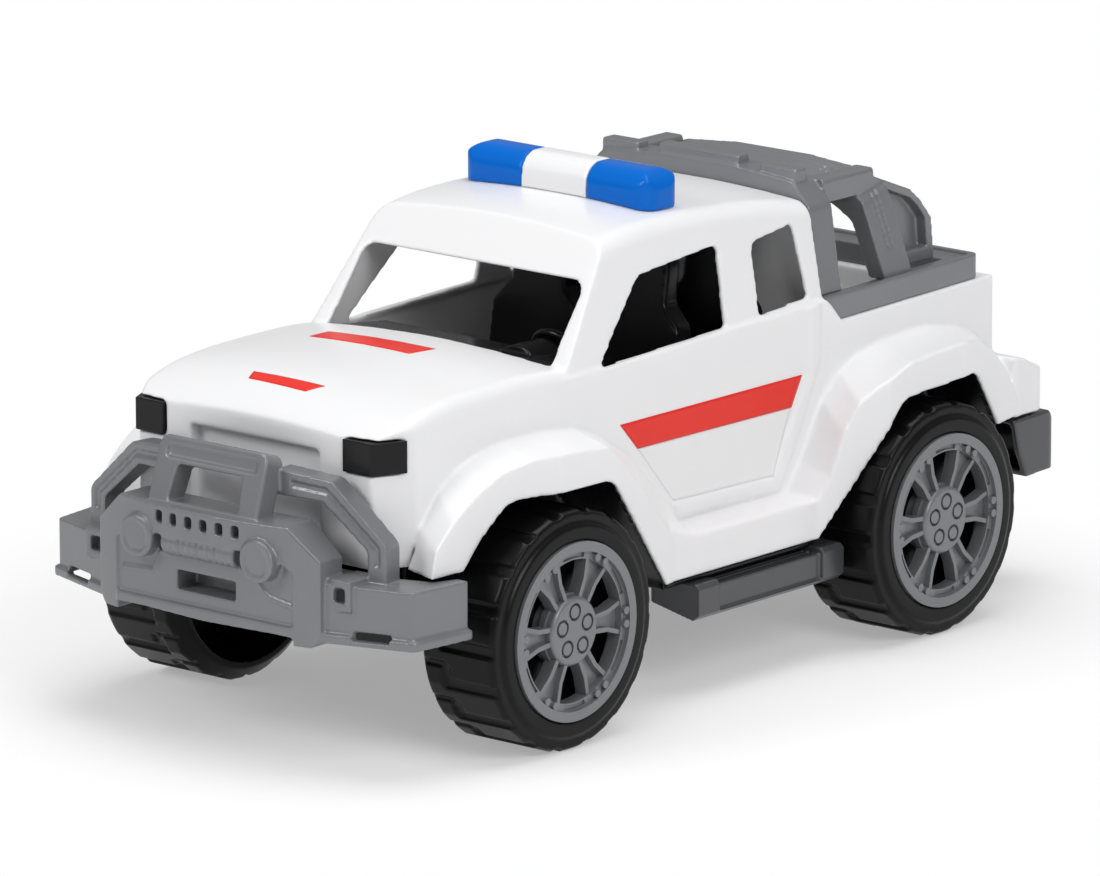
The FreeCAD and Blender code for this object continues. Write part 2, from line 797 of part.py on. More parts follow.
def make_hood(inset):
    """Hood, rising steeply from the nose and nearly flat behind it."""
    wires = []
    for along, up in hood_shares:
        y = nose_y + hood_length * along
        if along == 0:
            y += inset
        wires.append(hood_section(y, hood_nose_z + (hood_cowl_z - hood_nose_z) * up, inset))
    hood = Part.makeLoft(wires, True, False)
    end = cowl_y + windshield_slope_share * window_height
    tail = Part.makeLoft([wires[-1], moved(wires[-1], V(0, end - cowl_y, 0))], True, True)
    return join([hood, tail])


def cab_width_at(z):
    return cab_half_width - tumblehome_share * (z - belt_front_z)


def cab_section(y, top_z, inset):
    """Cab cross-section: leaning sides, rounded roof edges and a crowned roof."""
    top = top_z - inset
    low = belt_front_z - hood_edge_round
    side_z = top - roof_crown - roof_round
    low_half = cab_width_at(low) - inset
    side_half = cab_width_at(side_z) - inset
    turn = roof_round * (1 - math.cos(math.pi / 4))
    right = [V(low_half, y, low), V(side_half, y, side_z), V(side_half - turn, y, top - roof_crown - turn),
             V(side_half - roof_round, y, top - roof_crown)]
    left = [V(-p.x, p.y, p.z) for p in reversed(right)]
    edges = [Part.LineSegment(left[-1], right[0]).toShape(), Part.LineSegment(right[0], right[1]).toShape(),
             Part.Arc(right[1], right[2], right[3]).toShape(),
             Part.Arc(right[3], V(0, y, top), left[0]).toShape(),
             Part.Arc(left[0], left[1], left[2]).toShape(), Part.LineSegment(left[2], left[3]).toShape()]
    return Part.Wire(edges)


def make_cab(inset):
    """Cab from cowl to rear wall, cut to the windshield's slope."""
    wires = []
    for a, b in roof_shares:
        y = cowl_y + cab_length * a
        if a == 1.0:
            y -= inset
        wires.append(cab_section(y, axle_z + (roof_z - axle_z) * b, inset))
    cab = Part.makeLoft(wires, True, False)
    slope = windshield_slope_share
    base_y = cowl_y - hood_edge_round * slope + inset * math.hypot(1, slope)
    base_z = windshield_low_z - hood_edge_round
    rise = roof_z - base_z + overrun
    ahead = cowl_y - cab_length
    fall = 2 * hood_edge_drop + hood_edge_round
    wedge = [(base_y - slope * fall, base_z - fall), (base_y + slope * rise, base_z + rise),
             (ahead, base_z + rise), (ahead, base_z - fall)]
    return cab.cut(prism(wedge, "x", -body_half_width, body_half_width))


def belt_z(y):
    return belt_front_z + (belt_rear_z - belt_front_z) * (y - cowl_y) / cab_length


def bed_top(y):
    return bed_front_z + bed_rake * (y - notch_end_y) / bed_length


def make_tub(inset):
    """Lower body between its side planes: hood sides, doors, bed sides and tail."""
    top_margin = hood_edge_drop + hood_edge_round
    low = -2 * body_wall if inset else 0.0
    points = [(nose_y + inset, front_skirt_z + low), (nose_y + inset, hood_nose_z - top_margin - inset),
              (nose_y + hood_length * hood_shares[2][0] + inset, belt_front_z - hood_edge_drop - inset),
              (cowl_y + inset, belt_front_z - inset),
              (cab_rear_y - inset, belt_rear_z - inset),
              (cab_rear_y + notch_step - inset, belt_rear_z - notch_drop - inset),
              (notch_end_y - inset, bed_front_z - inset), (bed_rear_y - inset, bed_top(bed_rear_y) - inset),
              (bed_rear_y - inset, tail_top_z + tail_block_rise / 2 - inset),
              (tail_y - inset, tail_top_z - inset), (tail_y - inset, tail_skirt_z + low),
              (rear_axle_y, tail_skirt_z + low), (rear_axle_y, sill_z + low),
              (front_axle_y, sill_z + low), (front_axle_y, front_skirt_z + low)]
    half = body_half_width - inset
    return prism(points, "x", -half, half)


def nose_corner(side):
    """Wedge that bevels one corner of the nose."""
    half = body_half_width
    points = [(side * (half - bevel_width), nose_y - overrun), (side * (half + overrun), nose_y - overrun),
              (side * (half + overrun), nose_y + bevel_length), (side * half, nose_y + bevel_length),
              (side * (half - bevel_width), nose_y)]
    return prism(points, "z", 0, roof_z)


def make_tail_sides(inset):
    """Lower tail block that carries the rear bumper, as wide as the flares' rear ends."""
    half = rear_bumper_half_width - inset
    low = tail_skirt_z - (2 * body_wall if inset else 0.0)
    front = bed_rear_y - tail_block_length + inset
    rise = tail_block_rise - inset
    points = [(front, low), (front, tail_top_z + rise),
              (bed_rear_y - inset, tail_top_z + rise - tail_block_fall),
              (tail_y - inset, tail_top_z - inset), (tail_y - inset, low)]
    return prism(points, "x", -half, half)


def cab_point(shares):
    """Place on the cab's side: share of the cab's length back, share of the window's height up."""
    y = cowl_y + cab_length * shares[0]
    return (y, belt_z(y) + window_height * shares[1])


def door_point(shares):
    """Place on the door: share of the cab's length back, share of the height from sill to belt."""
    y = cowl_y + cab_length * shares[0]
    return (y, sill_z + (belt_z(y) - sill_z) * shares[1])


def headlight_outline(outward, inner):
    """Plan of the left headlight: across the nose and round its bevelled corner."""
    half = body_half_width
    slope = bevel_length / bevel_width
    end_x = half - bevel_width / slope / 2
    end_y = nose_y + bevel_length - bevel_width / 2
    front = nose_y - outward
    corner_x = half - bevel_width + outward * 0.5
    depth = headlight_depth
    far_x = end_x + outward * 0.9
    return [(inner, front), (corner_x, front), (far_x, end_y), (far_x - depth, end_y),
            (corner_x - depth, nose_y + depth), (inner, nose_y + depth)]


def make_headlight(outward, gap):
    points = headlight_outline(outward, headlight_inner_x - gap)
    return prism(points, "z", headlight_low_z - gap, headlight_low_z + headlight_height + gap)


def make_tailgate_groove():
    """Frame-shaped cutter for the groove round the tailgate."""
    half = tailgate_half_width
    low = tail_top_z + tail_block_rise + tailgate_low_margin
    high = bed_top(bed_rear_y) - tailgate_top_margin
    start = bed_rear_y - groove_depth
    frame = block(-half, half, start, bed_rear_y + overrun, low, high)
    inside = block(-half + groove_width, half - groove_width, start - overrun, tail_y, low + groove_width,
                   high - groove_width)
    return frame.cut(inside)


def make_body_shell():
    """White body: hood, cab and cargo bed in one moulding."""
    wall = body_wall
    outer = join([make_tub(0), make_hood(0), make_cab(0), make_tail_sides(0)]
                 + both_sides(make_relief(False)))
    bosses = []
    for side in (-1, 1):
        for y in (front_boss_y, rear_boss_y):
            bosses.append(rod("z", boss_radius, side * boss_x, y, plate_z + chassis_wall, bed_front_z))
    outer = cut(outer, [nose_corner(1), nose_corner(-1)])
    bead = [door_point(p) for p in bead_inner_shares] + [door_point(p) for p in reversed(bead_outer_shares)]
    bead_solid = prism(bead, "x", body_half_width - wall / 2, body_half_width + bead_rise)
    outer = join([outer] + both_sides(bead_solid) + bosses)
    hollow = join([make_tub(wall), make_hood(wall), make_cab(wall), make_tail_sides(wall)]
                  + both_sides(make_relief(True)))
    hollow = cut(hollow, [moved(nose_corner(side), V(-side * wall, wall, 0)) for side in (1, -1)])
    bed_back = bed_rear_y - bed_end_width - bed_front_gap
    tub_front = cab_rear_y
    bed_wall_box = block(-bed_half_width - wall, bed_half_width + wall, tub_front - wall, bed_back + wall,
                         bed_floor_z - wall, roof_z)
    hollow = hollow.cut(bed_wall_box)
    grille = block(-grille_half_width, grille_half_width, nose_y - overrun, nose_y + grille_depth,
                   grille_low_z, grille_low_z + grille_height)
    grille_back = block(-grille_half_width - wall, grille_half_width + wall, nose_y,
                        nose_y + grille_depth + wall, grille_low_z - wall,
                        grille_low_z + grille_height + wall)
    hollow = cut(hollow, bosses + [grille_back])
    shell = outer.cut(hollow)
    cuts = [block(-bed_half_width, bed_half_width, tub_front + wall, bed_back, bed_floor_z, roof_z)]
    for shares, axle_y in ((front_arch_shares, front_axle_y), (rear_arch_shares, rear_axle_y)):
        cuts += both_sides(prism(arch_outline(shares, axle_y), "x", keel_half_width, tyre_outer_x))
    low = windshield_low_z - 2 * wall
    high = windshield_low_z + windshield_height
    opening = mirror_points([(windshield_half_width, low),
                             (windshield_half_width - windshield_top_in, high, windshield_round)])
    top_y = cowl_y + windshield_slope_share * windshield_height + 3 * wall
    cuts.append(prism(opening, "y", cowl_y - cowl_gap, top_y + wall))
    for shares in (front_window_shares, quarter_window_shares):
        corners = [cab_point(p) for p in shares]
        rounds = (0, window_round, window_round / 2, 0)
        points = [corner + (radius,) for corner, radius in zip(corners, rounds)]
        cuts.append(prism(points, "x", -body_half_width - overrun, body_half_width + overrun))
    cuts.append(grille)
    cuts += both_sides(make_headlight(overrun, fit_gap))
    front_line = [door_point(p) for p in door_front_shares]
    band = front_line + [(y + groove_width, z) for y, z in reversed(front_line)]
    deep = prism(band, "x", body_half_width - groove_depth, flare_half_width)
    cuts += both_sides(deep)
    cuts.append(make_tailgate_groove())
    for side in (-1, 1):
        for y in (front_boss_y, rear_boss_y):
            cuts.append(rod("z", boss_bore, side * boss_x, y, plate_z, plate_z + screw_length + overrun))
    return largest(cut(shell, cuts))


# Chassis

def make_chassis():
    """Black base: keel with axle bores, floor plate, end plates and four wheel-arch liners."""
    wall = chassis_wall
    half = keel_half_width
    keel = block(-half, half, keel_front_y, keel_rear_y, keel_low_z, keel_top_z)
    keel = keel.cut(block(-half + wall, half - wall, keel_front_y + wall, keel_rear_y - wall,
                          keel_low_z + wall, keel_top_z + overrun))
    floor_front = front_axle_y + arch_unit * front_arch_shares[-1][0] + liner_margin
    floor_rear = rear_axle_y + arch_unit * rear_arch_shares[0][0] - liner_margin
    floor = block(-sill_half_width + body_wall, sill_half_width - body_wall, floor_front, floor_rear,
                  sill_z - wall, sill_z - fit_gap)
    floor = floor.cut(block(-half + wall, half - wall, floor_front + wall, floor_rear - wall,
                            keel_low_z, keel_top_z))
    front_plate = block(-end_plate_half_width, end_plate_half_width, front_plate_y,
                        keel_front_y + 2 * wall, plate_z, plate_z + wall)
    rear_plate = block(-end_plate_half_width, end_plate_half_width, keel_rear_y - 2 * wall, rear_plate_y,
                       plate_z, plate_z + wall)
    webs = [block(-half, half, keel_front_y, keel_front_y + wall, keel_top_z, plate_z + wall),
            block(-half, half, keel_rear_y - wall, keel_rear_y, keel_top_z, plate_z + wall)]
    pieces = [keel, floor, front_plate, rear_plate] + webs
    for shares, axle_y, low in ((front_arch_shares, front_axle_y, front_skirt_z + liner_rise),
                                (rear_arch_shares, rear_axle_y, tail_skirt_z)):
        outer = prism(arch_outline(shares, axle_y, liner_margin + liner_wall), "x",
                      keel_half_width - fit_gap, flare_half_width - body_wall - part_gap)
        inner = prism(arch_outline(shares, axle_y, liner_margin), "x", chassis_side_x(), tyre_outer_x)
        liner = outer.cut(inner).common(make_plan(body_wall + part_gap))
        end_y = front_y if axle_y < 0 else rear_y
        far = block(0, tyre_outer_x, min(axle_y, end_y), max(axle_y, end_y), 0, low - fit_gap)
        near_y = rear_y if axle_y < 0 else front_y
        near = block(0, tyre_outer_x, min(axle_y, near_y), max(axle_y, near_y), 0, sill_z - wall)
        keep = block(0, chassis_side_x(), axle_y - tyre_radius, axle_y + tyre_radius, keel_low_z, roof_z)
        liner = liner.cut(join([far, near]).cut(keep))
        tub_low = bed_floor_z - body_wall - part_gap
        under_tub = block(0, bed_half_width + body_wall + part_gap, axle_y - arch_unit, axle_y + arch_unit,
                          tub_low - liner_roof_drop, roof_z)
        wall_keep = block(0, chassis_side_x(), axle_y - arch_unit, axle_y + arch_unit, 0, tub_low)
        if axle_y > 0:
            liner = liner.cut(under_tub.cut(wall_keep))
        pieces += both_sides(liner)
    chassis = join(pieces)
    bores = []
    for axle_y in (front_axle_y, rear_axle_y):
        bores.append(rod("x", axle_radius + running_clearance, axle_y, axle_z, -tyre_outer_x, tyre_outer_x))
    for side in (-1, 1):
        for y in (front_boss_y, rear_boss_y):
            bores.append(rod("z", screw_radius + fit_gap, side * boss_x, y, keel_low_z, plate_z + 2 * wall))
    return largest(cut(chassis, bores))


def make_screws():
    """Four body screws, heads under the chassis end plates."""
    screws = []
    for side in (-1, 1):
        for y in (front_boss_y, rear_boss_y):
            head = rod("z", screw_head_radius, side * boss_x, y, plate_z - screw_head_height, plate_z)
            shank = rod("z", screw_radius, side * boss_x, y, plate_z - screw_head_height,
                        plate_z + screw_length)
            slot = block(side * boss_x - screw_radius, side * boss_x + screw_radius,
                         y - screw_slot_width / 2, y + screw_slot_width / 2,
                         plate_z - screw_head_height, plate_z - screw_head_height / 2)
            screws.append(join([head, shank]).cut(slot))
    return Part.makeCompound(screws)


# Cabin

def make_seat(x, back_y):
    """High-backed seat: cushion with side bolsters, leaning back and headrest."""
    half = seat_width / 2
    low = insert_floor_z
    top = low + seat_back_height
    lean = seat_back_height * seat_lean_share
    cushion = block(x - half, x + half, back_y - seat_base_length, back_y, low, low + seat_base_height)
    pieces = [cushion]
    for side in (-1, 1):
        near = x + side * half
        far = near - side * bolster_width
        pieces.append(block(min(near, far), max(near, far), back_y - seat_base_length, back_y, low,
                            low + seat_base_height + bolster_rise))
    neck = low + seat_back_height * neck_share
    rest = half * headrest_width_share
    face = mirror_points([(half, low), (half, neck - seat_shoulder_drop, seat_shoulder_round),
                          (rest, neck + neck_rise, neck_rise), (rest, top, headrest_round)])
    face = [(x + p[0],) + tuple(p[1:]) for p in face]
    back = prism(face, "y", back_y - lean, back_y + seat_back_thickness + lean)
    slab = prism([(back_y, low), (back_y + lean, top),
                  (back_y + lean + seat_back_thickness * seat_top_share, top),
                  (back_y + seat_back_thickness, low)], "x", x - seat_width, x + seat_width)
    pieces.append(back.common(slab))
    return join(pieces)


def make_cabin_insert():
    """Black cabin tray with two front seats and a rear bench in one moulding."""
    half = body_half_width - body_wall - insert_side_gap
    front = cowl_y + insert_side_gap
    rear = cab_rear_y - body_wall - insert_side_gap
    low = insert_floor_z - insert_wall
    tray = block(-half, half, front, rear, low, insert_floor_z)
    pieces = [tray]
    front_back_y = cowl_y + cab_length * front_seat_share
    rear_back_y = cowl_y + cab_length * rear_seat_share - seat_back_thickness
    for x in (-seat_x, seat_x):
        pieces.append(make_seat(x, front_back_y))
        pieces.append(make_seat(x, rear_back_y))
    feet_low = sill_z - fit_gap
    foot_x = keel_half_width + insert_wall + part_gap
    for x in (-foot_x, foot_x):
        pieces.append(block(x - insert_wall, x + insert_wall, front_back_y - seat_base_length, front_back_y,
                            feet_low, low))
    insert = join(pieces)
    spare = []
    for shares, axle_y in ((front_arch_shares, front_axle_y), (rear_arch_shares, rear_axle_y)):
        spare += both_sides(prism(arch_outline(shares, axle_y, liner_margin + liner_wall + part_gap), "x",
                                  keel_half_width - part_gap - fit_gap, tyre_outer_x))
    return largest(cut(insert, spare))


def make_dashboard():
    """Black dashboard with cowl strip, binnacle hump and two wipers under the windshield opening."""
    half = windshield_half_width - part_gap
    front = cowl_y - dash_front_gap
    back = front + dash_depth
    top = dash_top_z
    low = top - dash_height
    shelf = [(front, top - dash_lip_drop), (cowl_y - cowl_gap + part_gap, top - dash_lip_drop),
             (cowl_y, top), (back, top - dash_drop), (back, low), (front + dash_depth * 0.7, low),
             (front + dash_depth * 0.5, top - dash_height * 0.45), (front, top - dash_height * 0.45)]
    dash = prism(shelf, "x", -half, half)
    hump = rod("y", binnacle_radius, binnacle_x, top - binnacle_radius + binnacle_rise - dash_drop,
               front + dash_depth * 0.5, back - overrun)
    pieces = [dash, hump]
    for share in wiper_shares:
        arm = block(0, wiper_length, -wiper_width / 2, wiper_width / 2, 0, wiper_rise)
        arm = turned(arm, ORIGIN, Z_AXIS, wiper_turn_deg)
        pieces.append(moved(arm, V(windshield_half_width * share, cowl_y + wiper_setback,
                                   top - fit_gap - dash_drop * 0.3)))
    bore = rod("z", steering_column + fit_gap, 0, 0, -dash_depth, 0)
    bore = turned(bore, ORIGIN, X_AXIS, -steering_tilt_deg)
    return join(pieces).cut(moved(bore, steering_place()))


def steering_place():
    """Centre of the steering wheel, behind the dashboard."""
    return V(binnacle_x, cowl_y - dash_front_gap + dash_depth + steering_gap, dash_top_z - steering_drop)


def make_steering_wheel():
    rim = Part.makeTorus(steering_radius, steering_tube)
    hub = rod("z", steering_hub, 0, 0, -steering_tube, steering_tube)
    half = steering_tube / 2
    bars = [block(-steering_radius, steering_radius, -steering_tube, steering_tube, -half, half),
            block(-steering_tube, steering_tube, -steering_radius, 0, -half, half)]
    column = rod("z", steering_column, 0, 0, -steering_column_length, 0)
    wheel = join([rim, hub, column] + bars)
    wheel = turned(wheel, ORIGIN, X_AXIS, -steering_tilt_deg)
    return moved(wheel, steering_place())


# Front bumper with bull bar, lamps and winch

def bow_y(x, setback=0.0):
    """Front face of the bumper, bowed in plan, at the distance x from the middle."""
    return front_y + setback + bow_radius - math.sqrt(bow_radius * bow_radius - x * x)


def bow_solid(setback, low, high, half_width, back):
    """Slab whose front follows the bow and whose back is flat."""
    centre = front_y + setback + bow_radius
    disc = rod("z", bow_radius, 0, centre, low, high)
    return disc.common(block(-half_width, half_width, front_y + setback - overrun, back, low, high))


def wing_outline(proud, inset):
    """Plan of the beam: bowed front, rounded corners and sides that reach back."""
    half = bumper_half_width + proud - lip_proud - inset
    side_end = bow_y(half) + bumper_side_length
    out = inset - proud
    thick = wing_thickness - 2 * inset
    end_x = half + bumper_end_flare
    points = [(0, bow_y(0, panel_setback) + out)]
    for share, set_share in wing_bow_shares:
        points.append((half * share, bow_y(half * share, panel_setback * set_share) + out))
    points[-1] += (bumper_corner / 2,)
    points += [(half, bow_y(half) + out, bumper_corner / 3), (end_x, side_end),
               (end_x - wing_end_wall, side_end)]
    inner = [(half - wing_side_wall, beam_back_y + wing_inner_corner), (half - thick * 1.9, beam_back_y),
             (0, beam_back_y)]
    right = points + inner
    left = [(-p[0],) + tuple(p[1:]) for p in reversed(right[1:-1])]
    return right + left


def make_side_bar():
    """Bull bar's left side bar, from the hoop out and down to the bumper wing."""
    def place(shares):
        x = hoop_half_width - bar_tuck + bar_reach * shares[0]
        return (x, bumper_high_z - bar_sink + bar_rise * shares[1])
    points = [place(p) for p in bar_outer_shares] + [place(p) for p in bar_inner_shares]
    rounds = (0, bar_outer_round, bar_outer_round, 0, 0, bar_inner_round, bar_inner_round, 0)
    bar = prism([p + (r,) for p, r in zip(points, rounds)], "y", 0, bar_depth)
    middle = [tuple((a + b) / 2 for a, b in zip(place(p), place(q)))
              for p, q in zip(bar_outer_shares, reversed(bar_inner_shares))]
    half = bar_groove / 2
    (x0, z0), (x1, z1), (x2, z2), (x3, z3) = middle
    low = z3 + bar_groove_end
    groove = [(x0 + bar_groove_start, z0 + half), (x1, z1 + half), (x2 + half, z2 + half * 0.4),
              (x3 + half, low), (x3 - half, low), (x2 - half, z2 - half * 0.4), (x1, z1 - half),
              (x0 + bar_groove_start, z0 - half)]
    bar = bar.cut(prism(groove, "y", -overrun, bar_groove_depth))
    bar = turned(bar, V(hoop_half_width, 0, 0), Z_AXIS, bar_sweep_deg)
    return moved(bar, V(0, bow_y(hoop_half_width, bar_setback), 0))


def make_hoop():
    """Bull bar's middle hoop, leaning back from the top of the plate."""
    rise = hoop_rise
    outer = mirror_points([(hoop_half_width, -hoop_sink), (hoop_half_width - hoop_taper, rise, hoop_round)])
    inner = mirror_points([(hoop_inner_half_width, hoop_inner_low, hoop_inner_round / 2),
                           (hoop_inner_half_width - hoop_inner_taper, rise - hoop_bar, hoop_inner_round)])
    hoop = prism(outer, "y", 0, hoop_depth).cut(prism(inner, "y", -overrun, hoop_depth + overrun))
    panel_half = hoop_half_width * hoop_panel_share
    panel = mirror_points([(panel_half, rise - hoop_bar * 0.80, hoop_panel_round),
                           (panel_half, rise - hoop_bar * 0.30, hoop_panel_round)])
    hoop = hoop.cut(prism(panel, "y", -overrun, bar_groove_depth))
    hoop = turned(hoop, ORIGIN, X_AXIS, -hoop_lean_deg)
    return moved(hoop, V(0, bow_y(0, hoop_setback), hoop_base_z))


def make_winch():
    """Winch drum with its rope turns, moulded as one ribbed roll."""
    half = winch_half_length
    turn = 2 * half / winch_turns
    centre_y = bow_y(0, panel_setback - winch_proud)
    low = winch_z + winch_radius - winch_groove
    edges = []
    for k in range(winch_turns):
        x = turn * k - half
        middle = V(x + turn / 2, centre_y, winch_z + winch_radius)
        edges.append(Part.Arc(V(x, centre_y, low), middle, V(x + turn, centre_y, low)).toShape())
    corners = [V(half, centre_y, low), V(half, centre_y, winch_z), V(-half, centre_y, winch_z),
               V(-half, centre_y, low)]
    for start, end in zip(corners, corners[1:]):
        edges.append(Part.LineSegment(start, end).toShape())
    return Part.Face(Part.Wire(edges)).revolve(V(0, centre_y, winch_z), X_AXIS, 360)


def ridge(points, y):
    """Raised bead on the centre panel, along the points (x, z)."""
    half = ridge_width / 2
    line = [(x, z + half) for x, z in points] + [(x, z - half) for x, z in reversed(points)]
    return prism(line, "y", y - ridge_proud, y + overrun)


def make_front_bumper():
    """Grey front moulding: beam, centre plate, posts, fog lamps, winch and bull bar."""
    beam = prism(wing_outline(0, 0), "z", bumper_low_z, bumper_high_z)
    lip = prism(wing_outline(lip_proud, 0), "z", bumper_low_z, bumper_low_z + lip_height)
    hollow = prism(wing_outline(0, bumper_wall), "z", bumper_low_z - overrun, bumper_high_z - bumper_wall)
    centre_keep = block(-plate_half_width, plate_half_width, front_y - overrun, nose_y,
                        bumper_low_z - overrun, bumper_high_z + overrun)
    hollow = hollow.cut(centre_keep)
    pieces = [beam, lip]
    half = plate_half_width
    ahead = front_y - overrun
    face = mirror_points([(half - plate_foot, plate_low_z, plate_foot),
                          (half, plate_low_z + plate_foot_rise),
                          (half, plate_top_z - plate_chamfer_drop), (plate_top_half_width, plate_top_z)])
    slab = bow_solid(0, plate_low_z, plate_top_z, half, bow_y(0, band_thickness + plate_back))
    plate = slab.common(prism(face, "y", ahead, nose_y))
    inner_half = half - post_width
    band_low = plate_top_z - band_height
    window = mirror_points([(inner_half, plate_low_z - overrun), (inner_half, band_low - window_step_height),
                            (inner_half - window_step_width, band_low)])
    plate = plate.cut(prism(window, "y", ahead, nose_y))
    pieces.append(plate)
    panel_y = bow_y(0, panel_setback)
    panel_top = band_low + overrun
    panel = block(-inner_half - overrun, inner_half + overrun, panel_y, panel_y + panel_thickness,
                  panel_low_z, panel_top)
    well = block(-lamp_x, lamp_x, panel_y - overrun, panel_y + panel_thickness / 2,
                 winch_z - winch_radius, panel_top + overrun)
    vent_cut = block(-vent_half_width, vent_half_width, ahead, panel_y + 2 * panel_thickness, vent_low_z,
                     vent_low_z + vent_height)
    pieces.append(panel.cut(well))
    sill = block(-inner_half, inner_half, panel_y - lip_proud, panel_y + overrun, panel_low_z,
                 panel_low_z + lip_height)
    pieces.append(sill)
    panel_height = winch_z - winch_radius - panel_low_z
    for shares in (ridge_left_shares, ridge_right_shares):
        line = [(inner_half * a, panel_low_z + panel_height * b * 2) for a, b in shares]
        pieces.append(ridge(line, panel_y))
    pieces.append(make_winch())
    for side in (-1, 1):
        x = side * lamp_x
        lamp = rod("y", lamp_radius, x, lamp_z, front_y, panel_y + panel_thickness)
        dish = rod("y", lamp_dish_radius, x, lamp_z, ahead, front_y + lamp_dish_depth)
        rim = rod("y", lamp_dish_radius * 0.84, x, lamp_z, front_y + lamp_dish_depth * 0.4,
                  front_y + lamp_rim_depth)
        pieces.append(lamp.cut(dish).fuse(rim))
    pieces.append(make_hoop())
    pieces += both_sides(make_side_bar())
    for side in (-1, 1):
        near = side * (wing_box_x - wing_box_width / 2)
        far = side * (wing_box_x + wing_box_width / 2)
        pieces.append(block(min(near, far), max(near, far), bow_y(wing_box_x, wing_box_setback),
                            beam_back_y - 2 * bumper_wall, bumper_high_z - wing_box_height,
                            bumper_high_z + wing_box_rise))
    bumper = join(pieces)
    cuts = [hollow, vent_cut]
    for k in range(slot_count):
        x = slot_pitch * (k - (slot_count - 1) / 2)
        cuts.append(block(x - slot_width / 2, x + slot_width / 2, ahead, nose_y, slot_z - slot_height / 2,
                          slot_z + slot_height / 2))
    hole_top = bumper_high_z - wing_hole_wall
    slot_low = bumper_low_z + wing_slot_rise
    for side in (-1, 1):
        x = side * wing_box_x
        cuts.append(block(x - wing_hole / 2, x + wing_hole / 2, front_y, bow_y(wing_box_x, wing_hole_depth),
                          hole_top - wing_hole, hole_top))
        x = side * wing_slot_x
        cuts.append(block(x - wing_slot_length / 2, x + wing_slot_length / 2, front_y,
                          bow_y(wing_slot_x, wing_hole_depth), slot_low, slot_low + wing_slot_height))
    return largest(cut(bumper, cuts))


# Roll cage, rail and light bar

def rail_top(y):
    return bed_top(y) + rail_height


def make_bed_rail():
    """Grey ring on the bed's walls, with a raised outer lip."""
    inner_half = rail_half_width - rail_width
    plan = mirror_points([(rail_half_width, rail_front_y), (rail_half_width, rail_rear_y, rail_corner)])
    inner = mirror_points([(inner_half, rail_front_y + bed_front_gap, rail_inner_corner),
                           (inner_half, rail_rear_y - bed_end_width + overrun, rail_inner_corner)])
    low = bed_front_z - overrun
    high = bed_front_z + 2 * rail_height + cage_shoulder
    side = [(rail_front_y, belt_rear_z + fit_gap),
            (cab_rear_y + notch_step, belt_rear_z - notch_drop + fit_gap),
            (notch_end_y, bed_front_z), (rail_rear_y, bed_top(rail_rear_y)),
            (rail_rear_y, rail_top(rail_rear_y)), (rail_front_y, rail_top(rail_front_y))]
    ring = prism(plan, "z", low, high).cut(prism(inner, "z", low - overrun, high + overrun))
    ring = ring.common(prism(side, "x", -rail_half_width - overrun, rail_half_width + overrun))
    step = rail_half_width - rail_lip
    lower = mirror_points([(step, rail_front_y + post_depth + rail_post_gap, rail_inner_corner),
                           (step, rail_rear_y - rail_lip, 2 * rail_inner_corner)])
    shelf = [(front_y, rail_top(front_y) - rail_lip_depth), (rear_y, rail_top(rear_y) - rail_lip_depth),
             (rear_y, roof_z), (front_y, roof_z)]
    trough = prism(lower, "z", low, high).common(prism(shelf, "x", -rail_half_width, rail_half_width))
    return largest(ring.cut(trough))


def arch_face(half, base_z, top_z, shoulder_in, shoulder_drop, crown):
    """Outline of an arch over the bed: upright legs, sloped shoulders and a lightly crowned top."""
    return mirror_points([(half, base_z),
                          (half - shoulder_in * 0.42, top_z - shoulder_drop, cage_low_round),
                          (half - shoulder_in, top_z - crown, cage_high_round), (half * 0.3, top_z)])


def make_front_arch():
    """Arch behind the cab, with three lamp housings on its crossbar."""
    base = rail_top(rail_front_y) - rail_lip_depth - overrun
    half = rail_half_width - rail_lip
    wall = cage_shoulder_wall
    outer = arch_face(half, base, cage_top_z, cage_shoulder + wall, cage_shoulder, cage_crown)
    inner = arch_face(half - post_thickness, base - overrun, cage_top_z - crossbar_height, cage_shoulder,
                      cage_shoulder - wall, cage_crown)
    start = rail_front_y
    arch = prism(outer, "y", start, start + post_depth).cut(
        prism(inner, "y", start - overrun, start + post_depth + overrun))
    pieces = [arch]
    lamp_y = start + cage_lamp_setback
    for a, b in cage_lamp_shares:
        lamp = block(half * a, half * b, lamp_y, lamp_y + cage_lamp_depth, cage_top_z - cage_crown * 2,
                     cage_top_z + cage_lamp_rise - abs(a + b) * cage_lamp_fall)
        tops = [e for e in lamp.Edges if e.BoundBox.ZMin > cage_top_z]
        pieces.append(lamp.makeFillet(cage_lamp_round, tops))
    return join(pieces)


def below_rail():
    """Everything under the rail's inner shelf, to trim what stands on it."""
    front_z = rail_top(front_y) - rail_lip_depth
    rear_z = rail_top(rear_y) - rail_lip_depth
    return prism([(front_y, front_z), (rear_y, rear_z), (rear_y, 0), (front_y, 0)], "x",
                 -tyre_outer_x, tyre_outer_x)


